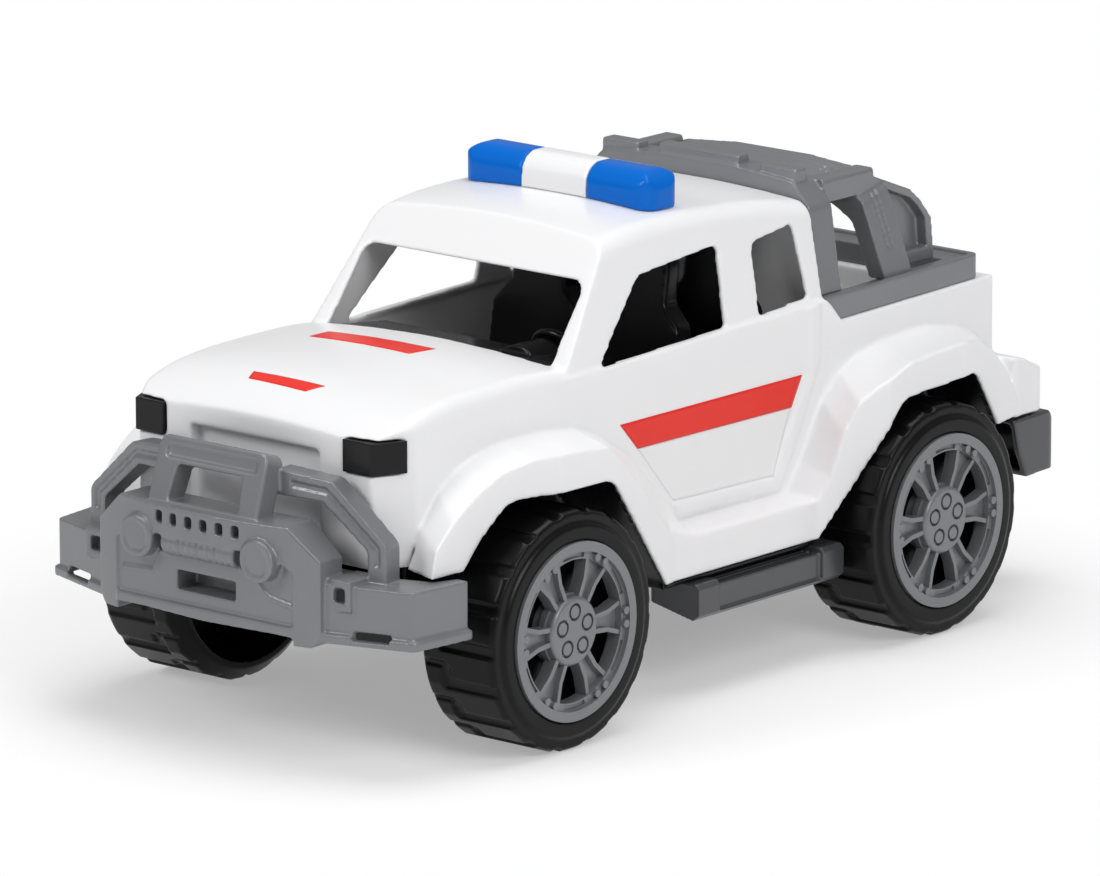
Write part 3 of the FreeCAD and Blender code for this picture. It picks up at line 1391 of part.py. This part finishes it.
def make_rear_arch():
    """Arch over the middle of the bed, leaning forwards."""
    base = rail_top(leg_base_y) - rail_lip_depth
    half = rail_half_width - rail_lip
    top = cage_top_z - hoop_top_drop
    wide = leg_top_in + leg_shoulder
    drop = leg_shoulder_drop
    low = base - leg_sink - overrun
    outer = arch_face(half, base - leg_sink, top, wide, drop, cage_crown)
    inner = arch_face(half - leg_thickness, low, top - crossbar_height + overrun,
                      wide - cage_shoulder_wall, drop, cage_crown)
    arch = prism(outer, "y", -leg_depth / 2, leg_depth / 2).cut(prism(inner, "y", -leg_depth, leg_depth))
    width = leg_groove_width / 2
    deep = leg_groove_depth
    face = arch_face(half + overrun, base + leg_groove_rise, top + overrun, wide, drop, cage_crown)
    core = prism(arch_face(half - deep, low, top - deep, wide, drop, cage_crown), "y",
                 -leg_depth, leg_depth)
    grooves = [prism(face, "y", offset - width, offset + width).cut(core)
               for offset in (-groove_inset / 2, groove_inset / 2)]
    arch = moved(cut(arch, grooves), V(0, leg_base_y, 0))
    arch = turned(arch, V(0, leg_base_y, base), X_AXIS, leg_lean_deg)
    return arch.cut(below_rail())


def make_roll_cage():
    """Grey cage: front arch, rear arch, arms between them and a buttress on each side."""
    arm_top = cage_top_z - cage_crown - arm_drop
    lean = math.tan(math.radians(leg_lean_deg))
    reach = leg_base_y - lean * (cage_top_z - hoop_top_drop - rail_top(leg_base_y)) + leg_depth / 4
    arm_x = buttress_x - arm_in
    arm = block(arm_x, arm_x + arm_width, rail_front_y + post_depth - overrun, reach,
                arm_top - arm_height, arm_top)
    top_edges = [e for e in arm.Edges if e.BoundBox.ZMin > arm_top - overrun]
    arm = arm.makeFillet(arm_round, [e for e in top_edges if e.BoundBox.YLength > arm_width])
    start = leg_base_y - lean * (cage_top_z - rail_top(leg_base_y)) * 0.55
    base = rail_top(rail_rear_y) - rail_lip_depth
    rise = cage_top_z - hoop_top_drop - base
    length = buttress_length * buttress_spread_share
    side = [(start + length * a, base + rise * b) for a, b in buttress_shares]
    plate = prism(side, "x", buttress_x, buttress_x + buttress_thickness)
    centre_y = sum(p[0] for p in side) / len(side)
    centre_z = sum(p[1] for p in side) / len(side)
    rim = buttress_rim_share
    pocket = [(centre_y + (y - centre_y) * rim, centre_z + (z - centre_z) * rim) for y, z in side]
    plate = plate.cut(prism(pocket, "x", buttress_x + buttress_thickness - buttress_recess,
                            buttress_x + buttress_thickness + overrun))
    foot = block(buttress_x, rail_half_width - rail_lip - fit_gap, rail_rear_y - bed_end_width + overrun,
                 rail_rear_y - rail_lip - fit_gap, base, base + buttress_foot_rise)
    cage = join([make_front_arch(), make_rear_arch()]
                + both_sides(arm) + both_sides(plate) + both_sides(foot))
    ahead = rail_front_y - overrun
    behind = rail_front_y + post_depth + rail_post_gap
    corner = prism([(ahead, rail_top(ahead)), (behind, rail_top(behind)), (behind, 0), (ahead, 0)], "x",
                   -tyre_outer_x, tyre_outer_x)
    return largest(cut(cage, [below_rail(), corner]))


def rounded_bar(x0, x1):
    """Light bar section between x0 and x1, with rounded top edges."""
    bar = block(x0, x1, light_front_y, light_front_y + light_depth, roof_z - 2 * light_round, light_top_z)
    top = light_top_z - fit_gap
    edges = [e for e in bar.Edges if e.BoundBox.ZMin > top and e.BoundBox.XLength > fit_gap]
    return bar.makeFillet(light_round, edges)


def make_light_lens():
    """Blue lens on the left half of the roof."""
    section = rounded_bar(light_split_x + light_seam, light_half_length)
    plan = [(light_split_x, light_front_y), (light_half_length, light_front_y, light_end_round),
            (light_half_length, light_front_y + light_depth, light_end_round),
            (light_split_x, light_front_y + light_depth)]
    section = section.common(prism(plan, "z", 0, roof_z * 2))
    near_x = light_split_x - overrun
    far_y = light_front_y + light_depth + overrun
    top_cut = [(near_x, 0), (light_half_length, 0), (light_half_length, light_top_z, light_round),
               (near_x, light_top_z)]
    section = section.common(prism(top_cut, "y", light_front_y - overrun, far_y))
    return largest(section.cut(make_cab(0)))


def make_light_base():
    """White middle of the light bar, with a shallow foot under both lenses."""
    middle = rounded_bar(-light_split_x, light_split_x)
    return largest(middle.cut(make_cab(0)))


# Side steps and rear bumper

def make_side_step():
    """Dark step under the left door: end blocks, a ridged tread between them and a lower lip."""
    top = sill_z - chassis_wall
    low = top - step_height
    start = step_front_y
    end = step_rear_y
    body = prism([(step_inner_x, top), (step_outer_x - step_bevel, top),
                  (step_outer_x, top - step_bevel, step_edge_round),
                  (step_outer_x, low + step_lip, step_edge_round),
                  (step_outer_x - step_under, low), (step_inner_x, low + step_inner_rise)], "y", start, end)
    tread_start = start + step_end_length
    tread_end = end - step_end_length
    tread_z = top - step_tread_drop
    tread = block(step_inner_x + step_side_margin, step_outer_x + overrun, tread_start, tread_end, tread_z,
                  top + overrun)
    waist = block(step_outer_x - step_waist, step_outer_x + overrun, tread_start, tread_end, low + step_lip,
                  top + overrun)
    body = cut(body, [tread, waist])
    first_x = step_inner_x + step_side_margin + overrun
    span = step_outer_x - step_end_margin - first_x + overrun
    ridges = []
    for k in range(step_ridge_count):
        x = first_x + span * (k + 0.5) / step_ridge_count
        ridges.append(block(x, x + step_ridge, tread_start - overrun, tread_end + overrun,
                            tread_z - overrun, tread_z + step_ridge_rise))
    body = join([body] + ridges)
    inner_x = step_inner_x + step_wall
    outer_x = step_outer_x - step_wall - step_waist
    hollow = block(inner_x, outer_x, start + step_wall, end - step_wall, low - overrun,
                   tread_z - step_tread_drop)
    return largest(body.cut(hollow))


def make_rear_bumper():
    """Dark rear bumper, hollow from the front, wrapped round the tail."""
    back = rear_y
    start = back - rear_bumper_depth
    low = tail_skirt_z - part_gap - rear_bumper_height
    side = [(start + rear_bumper_depth * a, low + rear_bumper_height * b) for a, b in rear_bumper_shares]
    bumper = prism(side, "x", -rear_bumper_half_width, rear_bumper_half_width)
    wall = bumper_wall
    inner = block(-rear_bumper_half_width + wall, rear_bumper_half_width - wall, start - overrun,
                  back - 3 * wall, low + wall, tail_skirt_z - part_gap - wall)
    plan = mirror_points([(rear_bumper_half_width, start - overrun),
                          (rear_bumper_half_width, back - rear_bumper_bow, rear_bumper_corner),
                          (rear_bumper_half_width * 0.4, back)])
    bumper = bumper.common(prism(plan, "z", 0, roof_z))
    step_half = rear_bumper_half_width * rear_step_share
    step = block(-step_half, step_half, back - rear_step_depth, back + overrun,
                 low + rear_bumper_height * 0.9, roof_z)
    return largest(cut(bumper, [inner, step]))


# Build every piece and write one file for each

def make_all():
    parts = {}
    parts["body_shell"] = make_body_shell()
    parts["chassis"] = make_chassis()
    parts["chassis_screws"] = make_screws()
    parts["cabin_insert"] = make_cabin_insert()
    parts["dashboard"] = make_dashboard()
    parts["steering_wheel"] = make_steering_wheel()
    headlight = make_headlight(headlight_proud, 0)
    parts["headlight_left"] = headlight
    parts["headlight_right"] = mirrored(headlight)
    parts["front_bumper"] = make_front_bumper()
    parts["rear_bumper"] = make_rear_bumper()
    parts["bed_rail"] = make_bed_rail()
    parts["roll_cage"] = make_roll_cage()
    parts["light_bar"] = make_light_base()
    lens = make_light_lens()
    parts["light_lens_left"] = lens
    parts["light_lens_right"] = mirrored(lens)
    step = make_side_step()
    parts["side_step_left"] = step
    parts["side_step_right"] = mirrored(step)
    tyre = make_tyre()
    disc = make_wheel_disc()
    axle = make_axle()
    for end, y in (("front", front_axle_y), ("rear", rear_axle_y)):
        offset = V(0, y, 0)
        parts[end + "_axle"] = moved(axle, offset)
        parts[end + "_left_tyre"] = moved(tyre, offset)
        parts[end + "_right_tyre"] = moved(mirrored(tyre), offset)
        parts[end + "_left_disc"] = moved(disc, offset)
        parts[end + "_right_disc"] = moved(mirrored(disc), offset)
    return parts


os.makedirs("parts", exist_ok=True)
for name, shape in make_all().items():
    shape.exportStep("parts/" + name + ".step")
    box = shape.BoundBox
    print(name, len(shape.Solids), shape.isValid(), round(shape.Volume),
          [round(v, 1) for v in (box.XMin, box.XMax, box.YMin, box.YMax, box.ZMin, box.ZMax)])
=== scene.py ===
import bpy
import bmesh
import math
from mathutils import Matrix, Vector
from mathutils.bvhtree import BVHTree


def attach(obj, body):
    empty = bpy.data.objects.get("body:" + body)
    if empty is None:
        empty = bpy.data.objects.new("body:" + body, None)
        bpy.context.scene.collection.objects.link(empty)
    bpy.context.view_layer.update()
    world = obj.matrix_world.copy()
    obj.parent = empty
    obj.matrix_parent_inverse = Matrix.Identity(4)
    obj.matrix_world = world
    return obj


# Toy ambulance pickup. Metres, origin on the floor, the nose towards -Y, the vehicle's left side +X.

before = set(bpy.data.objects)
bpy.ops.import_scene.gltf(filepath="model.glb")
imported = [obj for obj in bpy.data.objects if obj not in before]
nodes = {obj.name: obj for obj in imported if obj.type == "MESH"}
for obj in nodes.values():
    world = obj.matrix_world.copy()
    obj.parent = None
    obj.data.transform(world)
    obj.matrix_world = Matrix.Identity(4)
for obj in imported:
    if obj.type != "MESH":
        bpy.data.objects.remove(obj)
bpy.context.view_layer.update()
scene = bpy.context.scene
MM = 0.001

# Moulded plastic: noise as waves per metre and octaves of detail, and the noise values that are spread
DRIFT = (28, 3)
WAVE = (55, 1)
GRAIN = (2600, 2)
NOISE_START = 0.3
NOISE_END = 0.7
BUMP_DISTANCE = 0.6 * MM
PLASTIC_IOR = 1.5

# Steel: its scratches are long and fine
STEEL_COLOUR = (0.55, 0.55, 0.56, 1)
SCRATCH = (900, 3)
SCRATCH_STRETCH = (0.05, 1, 1)
SCRATCH_ROUGHNESS = (0.25, 0.5)
SCRATCH_STRENGTH = 0.15
SCRATCH_DEPTH = 0.1 * MM

# Edge rounding
WELD_DISTANCE = 0.01 * MM
SMOOTH_FACTOR = 0.5
KEPT_FACE_SHARE = 0.25
SPLIT_ANGLE_DEG = 35

# Stickers: corners in millimetres from the origin, in order round the edge
DOOR_BAND = [(0, -40.1, 100.3), (0, 61.7, 100.2), (0, 55.6, 89.2), (0, -30.5, 89.9)]
DOOR_PLATE = [(0, -30.3, 89.7), (0, 55.3, 89.0), (0, 44.7, 65.8), (0, -10.6, 67.2)]
HOOD_BAND_REAR = [(-33.5, -97.5, 0), (14.0, -98.0, 0), (16.0, -86.0, 0), (-33.5, -87.0, 0)]
HOOD_BAND_FRONT = [(-16.5, -148.2, 0), (11.2, -149.5, 0), (15.4, -143.6, 0), (-18.7, -142.9, 0)]
STICKER_STEP = 1.2 * MM
FEWEST_STEPS = 2
PLATE_RISE = 0.12 * MM
BAND_RISE = 0.2 * MM
FILM_SHARE = 0.9
SIDE_START = 100 * MM
TOP_START = 200 * MM

# Floor: radii between which it turns from shadowed floor to plain white, and how far it lifts its shadow
FLOOR_SIZE = 12
FLOOR_ROUGHNESS = 0.9
FLOOR_NEAR = 0.17
FLOOR_FAR = 0.29
FLOOR_LIFT = 0.35
FLOOR_BOUNCE = (0.88, 0.88, 0.885)
FLOOR_SEEN = (0.95, 0.945, 0.955)

# Studio light: the surroundings' strength near the horizon and overhead, and the heights between them
WHITE = (1, 1, 1, 1)
SEEN_STRENGTH = 1.0
HORIZON_STRENGTH = 0.22
OVERHEAD_STRENGTH = 0.35
HORIZON_HEIGHT = 0.12
OVERHEAD_HEIGHT = 0.55

# Lamps: place, size and watts
LAMP_AIM = (0, 0, 0.08)
LAMPS = {
    "overhead": ((0.1, 0.1, 1.5), 1.0, 10.5),
    "key": ((-0.6, -1.4, 1.1), 0.6, 9.5),
    "side": ((1.5, -0.5, 1.1), 0.8, 12),
}

# Camera at the photograph's view
VIEW_AZIMUTH_DEG = 40.53
VIEW_ELEVATION_DEG = 13.62
VIEW_ROLL_DEG = -0.11
VIEW_AIM = (0, -0.0055, 0.0795)
VIEW_DISTANCE = 3.5873
LENS_MM = 326.3
SENSOR_MM = 36
CLIP_END = 50


# Materials

class Nodes:
    """Node tree of a material or world, with short names for adding and linking nodes."""

    def __init__(self, owner):
        owner.use_nodes = True
        self.owner = owner
        self.tree = owner.node_tree
        self.shader = self.tree.nodes.get("Principled BSDF")

    def add(self, kind, **values):
        node = self.tree.nodes.new(kind)
        for key, value in values.items():
            setattr(node, key, value)
        return node

    def link(self, source, target):
        self.tree.links.new(source, target)

    def own_coordinates(self):
        return self.add("ShaderNodeTexCoord").outputs["Object"]

    def noise(self, scale_and_detail, coordinates):
        """Noise with the given waves per metre and octaves."""
        node = self.add("ShaderNodeTexNoise")
        node.inputs["Scale"].default_value, node.inputs["Detail"].default_value = scale_and_detail
        self.link(coordinates, node.inputs["Vector"])
        return node.outputs["Fac"]

    def spread(self, value, low, high, start=NOISE_START, end=NOISE_END, curve="LINEAR"):
        """Maps value from start..end to low..high."""
        node = self.add("ShaderNodeMapRange", interpolation_type=curve)
        node.inputs["From Min"].default_value = start
        node.inputs["From Max"].default_value = end
        node.inputs["To Min"].default_value = low
        node.inputs["To Max"].default_value = high
        self.link(value, node.inputs["Value"])
        return node.outputs["Result"]

    def bump(self, height, strength, distance):
        node = self.add("ShaderNodeBump")
        node.inputs["Strength"].default_value = strength
        node.inputs["Distance"].default_value = distance
        self.link(height, node.inputs["Height"])
        self.link(node.outputs["Normal"], self.shader.inputs["Normal"])

    def two_tone(self, factor, first, second):
        node = self.add("ShaderNodeMix", data_type="RGBA")
        node.inputs["A"].default_value = (*first, 1)
        node.inputs["B"].default_value = (*second, 1)
        self.link(factor, node.inputs["Factor"])
        return node.outputs["Result"]

    def seen_by(self, *kinds):
        """1 for rays of these kinds, 0 for the others."""
        path = self.add("ShaderNodeLightPath")
        seen = path.outputs[f"Is {kinds[0]} Ray"]
        for kind in kinds[1:]:
            larger = self.add("ShaderNodeMath", operation="MAXIMUM")
            self.link(seen, larger.inputs[0])
            self.link(path.outputs[f"Is {kind} Ray"], larger.inputs[1])
            seen = larger.outputs["Value"]
        return seen


def new_material(name):
    return Nodes(bpy.data.materials.new(name))


def moulded(name, colour, roughness, waviness, grain=0.0, shade=0.02, shine=0.5, metal=0.0):
    """Moulded plastic: slow tone drift, the faint waviness of a mould and a fine grain."""
    m = new_material(name)
    coordinates = m.own_coordinates()
    dark = tuple(c * (1 - shade) for c in colour)
    light = tuple(min(1, c * (1 + shade)) for c in colour)
    drift = m.spread(m.noise(DRIFT, coordinates), 0, 1)
    m.link(m.two_tone(drift, dark, light), m.shader.inputs["Base Color"])
    relief = m.noise(WAVE, coordinates)
    if grain:
        fine = m.add("ShaderNodeMath", operation="MULTIPLY_ADD")
        m.link(m.noise(GRAIN, coordinates), fine.inputs[0])
        fine.inputs[1].default_value = grain
        m.link(relief, fine.inputs[2])
        relief = fine.outputs["Value"]
    m.bump(relief, waviness, BUMP_DISTANCE)
    m.shader.inputs["Roughness"].default_value = roughness
    m.shader.inputs["IOR"].default_value = PLASTIC_IOR
    m.shader.inputs["Specular IOR Level"].default_value = shine
    m.shader.inputs["Metallic"].default_value = metal
    return m.owner


def steel_material():
    """Drawn steel wire: grey metal with fine lengthwise scratches."""
    m = new_material("steel")
    m.shader.inputs["Metallic"].default_value = 1
    m.shader.inputs["Base Color"].default_value = STEEL_COLOUR
    mapping = m.add("ShaderNodeMapping")
    mapping.inputs["Scale"].default_value = SCRATCH_STRETCH
    m.link(m.own_coordinates(), mapping.inputs["Vector"])
    scratches = m.noise(SCRATCH, mapping.outputs["Vector"])
    m.link(m.spread(scratches, *SCRATCH_ROUGHNESS), m.shader.inputs["Roughness"])
    m.bump(scratches, SCRATCH_STRENGTH, SCRATCH_DEPTH)
    return m.owner


# Plastics: colour, roughness, waviness, grain, tone drift, strength of the shine and metal flake

white = moulded("white_plastic", (0.85, 0.85, 0.86), 0.28, 0.015, shade=0.004)
grey = moulded("grey_plastic", (0.205, 0.211, 0.223), 0.33, 0.06, grain=0.02, shine=0.5, metal=0.3)
disc_grey = moulded("disc_plastic", (0.20, 0.206, 0.218), 0.35, 0.06, grain=0.02, shine=0.5, metal=0.3)
blue = moulded("blue_plastic", (0.0, 0.135, 0.58), 0.18, 0.04, shine=0.15)
black = moulded("black_plastic", (0.006, 0.006, 0.0065), 0.24, 0.10, grain=0.03, shine=0.25)
tyre_black = moulded("tyre_plastic", (0.004, 0.004, 0.0045), 0.30, 0.12, grain=0.05, shine=0.18)
dark_grey = moulded("dark_grey_plastic", (0.052, 0.053, 0.059), 0.26, 0.08, grain=0.03, shine=0.7)
red_film = moulded("red_film", (0.80, 0.028, 0.016), 0.32, 0.01, shine=0.3)
pale_film = moulded("pale_film", (0.83, 0.83, 0.83), 0.32, 0.01, shade=0.004, shine=0.4)
steel = steel_material()


# Finish of each node: material, voxel in millimetres and smoothing passes; voxel 0 keeps the edges sharp

FINISHES = {
    "body_shell": (white, 0.8, 10), "light_bar": (white, 0.5, 5), "chassis": (black, 0.9, 3),
    "cabin_insert": (black, 0.8, 5), "dashboard": (black, 0.6, 4), "steering_wheel": (black, 0.4, 2),
    "headlight_left": (black, 0.3, 4), "headlight_right": (black, 0.3, 4),
    "side_step_left": (dark_grey, 0.45, 4), "side_step_right": (dark_grey, 0.45, 4),
    "rear_bumper": (dark_grey, 0.6, 4), "front_bumper": (grey, 0.5, 4), "roll_cage": (grey, 0.5, 4),
    "bed_rail": (grey, 0.5, 4), "light_lens_left": (blue, 0.4, 24), "light_lens_right": (blue, 0.4, 24),
    "chassis_screws": (steel, 0, 0), "front_axle": (steel, 0, 0), "rear_axle": (steel, 0, 0),
}
for end in ("front", "rear"):
    for side in ("left", "right"):
        FINISHES[f"{end}_{side}_tyre"] = (tyre_black, 0.6, 3)
        FINISHES[f"{end}_{side}_disc"] = (disc_grey, 0, 0)


def soften(piece, voxel, passes):
    """Rounds the edges of a piece as a mould leaves them: fine even faces, smoothed, then fewer of them."""
    remesh = piece.modifiers.new("remesh", "REMESH")
    remesh.mode = "VOXEL"
    remesh.voxel_size = voxel * MM * 1
    remesh.use_smooth_shade = True
    smooth = piece.modifiers.new("smooth", "SMOOTH")
    smooth.factor = SMOOTH_FACTOR
    smooth.iterations = passes
    piece.modifiers.new("lighten", "DECIMATE").ratio = KEPT_FACE_SHARE


def keep_sharp(piece):
    """Smooth faces with their edges left as the solid has them."""
    piece.modifiers.new("edges", "EDGE_SPLIT").split_angle = math.radians(SPLIT_ANGLE_DEG)
    for face in piece.data.polygons:
        face.use_smooth = True


for name, piece in nodes.items():
    material, voxel, passes = FINISHES[name]
    piece.data.materials.clear()
    piece.data.materials.append(material)
    piece.modifiers.new("weld", "WELD").merge_threshold = WELD_DISTANCE
    if voxel:
        soften(piece, voxel, passes)
    else:
        keep_sharp(piece)


# Stickers: bare bands and plates, each a thin film that follows the body

def body_surface():
    """The body's softened surface, to lay the stickers on."""
    shape = nodes["body_shell"].evaluated_get(bpy.context.evaluated_depsgraph_get())
    mesh = shape.to_mesh()
    corners = [v.co.copy() for v in mesh.vertices]
    tree = BVHTree.FromPolygons(corners, [p.vertices[:] for p in mesh.polygons])
    shape.to_mesh_clear()
    return tree


def film_mesh(name, surface, corners, start, towards, rise):
    """Grid between four corners, dropped on the surface along towards and raised a little off it."""
    corners = [Vector(c) * MM for c in corners]
    across = max(FEWEST_STEPS, round((corners[1] - corners[0]).length / STICKER_STEP))
    down = max(FEWEST_STEPS, round((corners[2] - corners[1]).length / STICKER_STEP))
    mesh = bmesh.new()
    rows = []
    for j in range(down + 1):
        rows.append([])
        for i in range(across + 1):
            upper = corners[0].lerp(corners[1], i / across)
            lower = corners[3].lerp(corners[2], i / across)
            hit = surface.ray_cast(upper.lerp(lower, j / down) + start, towards)[0]
            rows[-1].append(mesh.verts.new(hit - towards * rise))
    for first, second in zip(rows, rows[1:]):
        for i in range(across):
            mesh.faces.new((first[i], first[i + 1], second[i + 1], second[i]))
    mesh.normal_update()
    if sum(face.normal.dot(towards) for face in mesh.faces) > 0:
        bmesh.ops.reverse_faces(mesh, faces=mesh.faces)
    data = bpy.data.meshes.new(name)
    mesh.to_mesh(data)
    mesh.free()
    for face in data.polygons:
        face.use_smooth = True
    return data


def sticker(name, surface, corners, start, towards, material, rise):
    """Film on the body through the corners given, seen from start along towards."""
    data = film_mesh(name, surface, corners, Vector(start), Vector(towards), rise)
    film = bpy.data.objects.new(name, data)
    scene.collection.objects.link(film)
    solid = film.modifiers.new("film", "SOLIDIFY")
    solid.thickness = rise * FILM_SHARE
    solid.offset = -1
    film.data.materials.append(material)
    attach(film, "vehicle")


def make_stickers():
    surface = body_surface()
    for side, word in ((1, "left"), (-1, "right")):
        start = (side * SIDE_START, 0, 0)
        sticker(f"door_band_{word}", surface, DOOR_BAND, start, (-side, 0, 0), red_film, BAND_RISE)
        sticker(f"door_plate_{word}", surface, DOOR_PLATE, start, (-side, 0, 0), pale_film, PLATE_RISE)
    for word, corners in (("rear", HOOD_BAND_REAR), ("front", HOOD_BAND_FRONT)):
        sticker(f"hood_band_{word}", surface, corners, (0, 0, TOP_START), (0, 0, -1), red_film, PLATE_RISE)


make_stickers()


# Floor and backdrop

def floor_material():
    """Pale floor that keeps the toy's shadow near it and runs out to plain white further away."""
    m = new_material("floor")
    m.shader.inputs["Roughness"].default_value = FLOOR_ROUGHNESS
    m.shader.inputs["Specular IOR Level"].default_value = 0
    seen = m.seen_by("Camera", "Glossy", "Transmission")
    m.link(m.two_tone(seen, FLOOR_BOUNCE, FLOOR_SEEN), m.shader.inputs["Base Color"])
    distance = m.add("ShaderNodeVectorMath", operation="LENGTH")
    m.link(m.own_coordinates(), distance.inputs[0])
    edge = m.spread(distance.outputs["Value"], FLOOR_LIFT, 1, FLOOR_NEAR, FLOOR_FAR, "SMOOTHSTEP")
    share = m.add("ShaderNodeMath", operation="MULTIPLY")
    m.link(edge, share.inputs[0])
    m.link(seen, share.inputs[1])
    glow = m.add("ShaderNodeEmission")
    mix = m.add("ShaderNodeMixShader")
    m.link(share.outputs["Value"], mix.inputs["Fac"])
    m.link(m.shader.outputs["BSDF"], mix.inputs[1])
    m.link(glow.outputs["Emission"], mix.inputs[2])
    m.link(mix.outputs["Shader"], m.tree.nodes["Material Output"].inputs["Surface"])
    return m.owner


def make_floor():
    bpy.ops.mesh.primitive_plane_add(size=FLOOR_SIZE)
    floor = bpy.context.object
    floor.name = "floor"
    floor.data.materials.append(floor_material())


make_floor()


# Light

def make_world():
    """Soft studio: dim round the horizon, brighter overhead; plain white where the camera sees it."""
    m = Nodes(bpy.data.worlds.new("studio"))
    scene.world = m.owner
    split = m.add("ShaderNodeSeparateXYZ")
    m.link(m.add("ShaderNodeTexCoord").outputs["Generated"], split.inputs["Vector"])
    unseen = m.spread(split.outputs["Z"], HORIZON_STRENGTH, OVERHEAD_STRENGTH,
                      HORIZON_HEIGHT, OVERHEAD_HEIGHT, "SMOOTHSTEP")
    strength = m.add("ShaderNodeMapRange")
    m.link(m.seen_by("Camera", "Transmission"), strength.inputs["Value"])
    m.link(unseen, strength.inputs["To Min"])
    strength.inputs["To Max"].default_value = SEEN_STRENGTH
    background = m.tree.nodes["Background"]
    m.link(strength.outputs["Result"], background.inputs["Strength"])
    background.inputs["Color"].default_value = WHITE


def make_lamp(name, place, size, energy):
    light = bpy.data.lights.new(name, "AREA")
    light.energy = energy
    light.size = size
    lamp = bpy.data.objects.new(name, light)
    scene.collection.objects.link(lamp)
    lamp.location = place
    lamp.rotation_euler = (Vector(LAMP_AIM) - lamp.location).to_track_quat("-Z", "Y").to_euler()


make_world()
for name, (place, size, energy) in LAMPS.items():
    make_lamp(name, place, size, energy)


# Camera

def make_camera():
    azimuth = math.radians(VIEW_AZIMUTH_DEG)
    elevation = math.radians(VIEW_ELEVATION_DEG)
    flat = math.cos(elevation)
    away = Vector((math.sin(azimuth) * flat, -math.cos(azimuth) * flat, math.sin(elevation)))
    data = bpy.data.cameras.new("camera")
    data.lens = LENS_MM
    data.sensor_width = SENSOR_MM
    data.clip_end = CLIP_END
    camera = bpy.data.objects.new("camera", data)
    scene.collection.objects.link(camera)
    camera.location = Vector(VIEW_AIM) + away * VIEW_DISTANCE
    roll = Matrix.Rotation(math.radians(VIEW_ROLL_DEG), 3, "Z")
    camera.rotation_euler = ((-away).to_track_quat("-Z", "Y").to_matrix() @ roll).to_euler()
    scene.camera = camera


make_camera()
scene.view_settings.view_transform = "Standard"

bpy.context.view_layer.update()
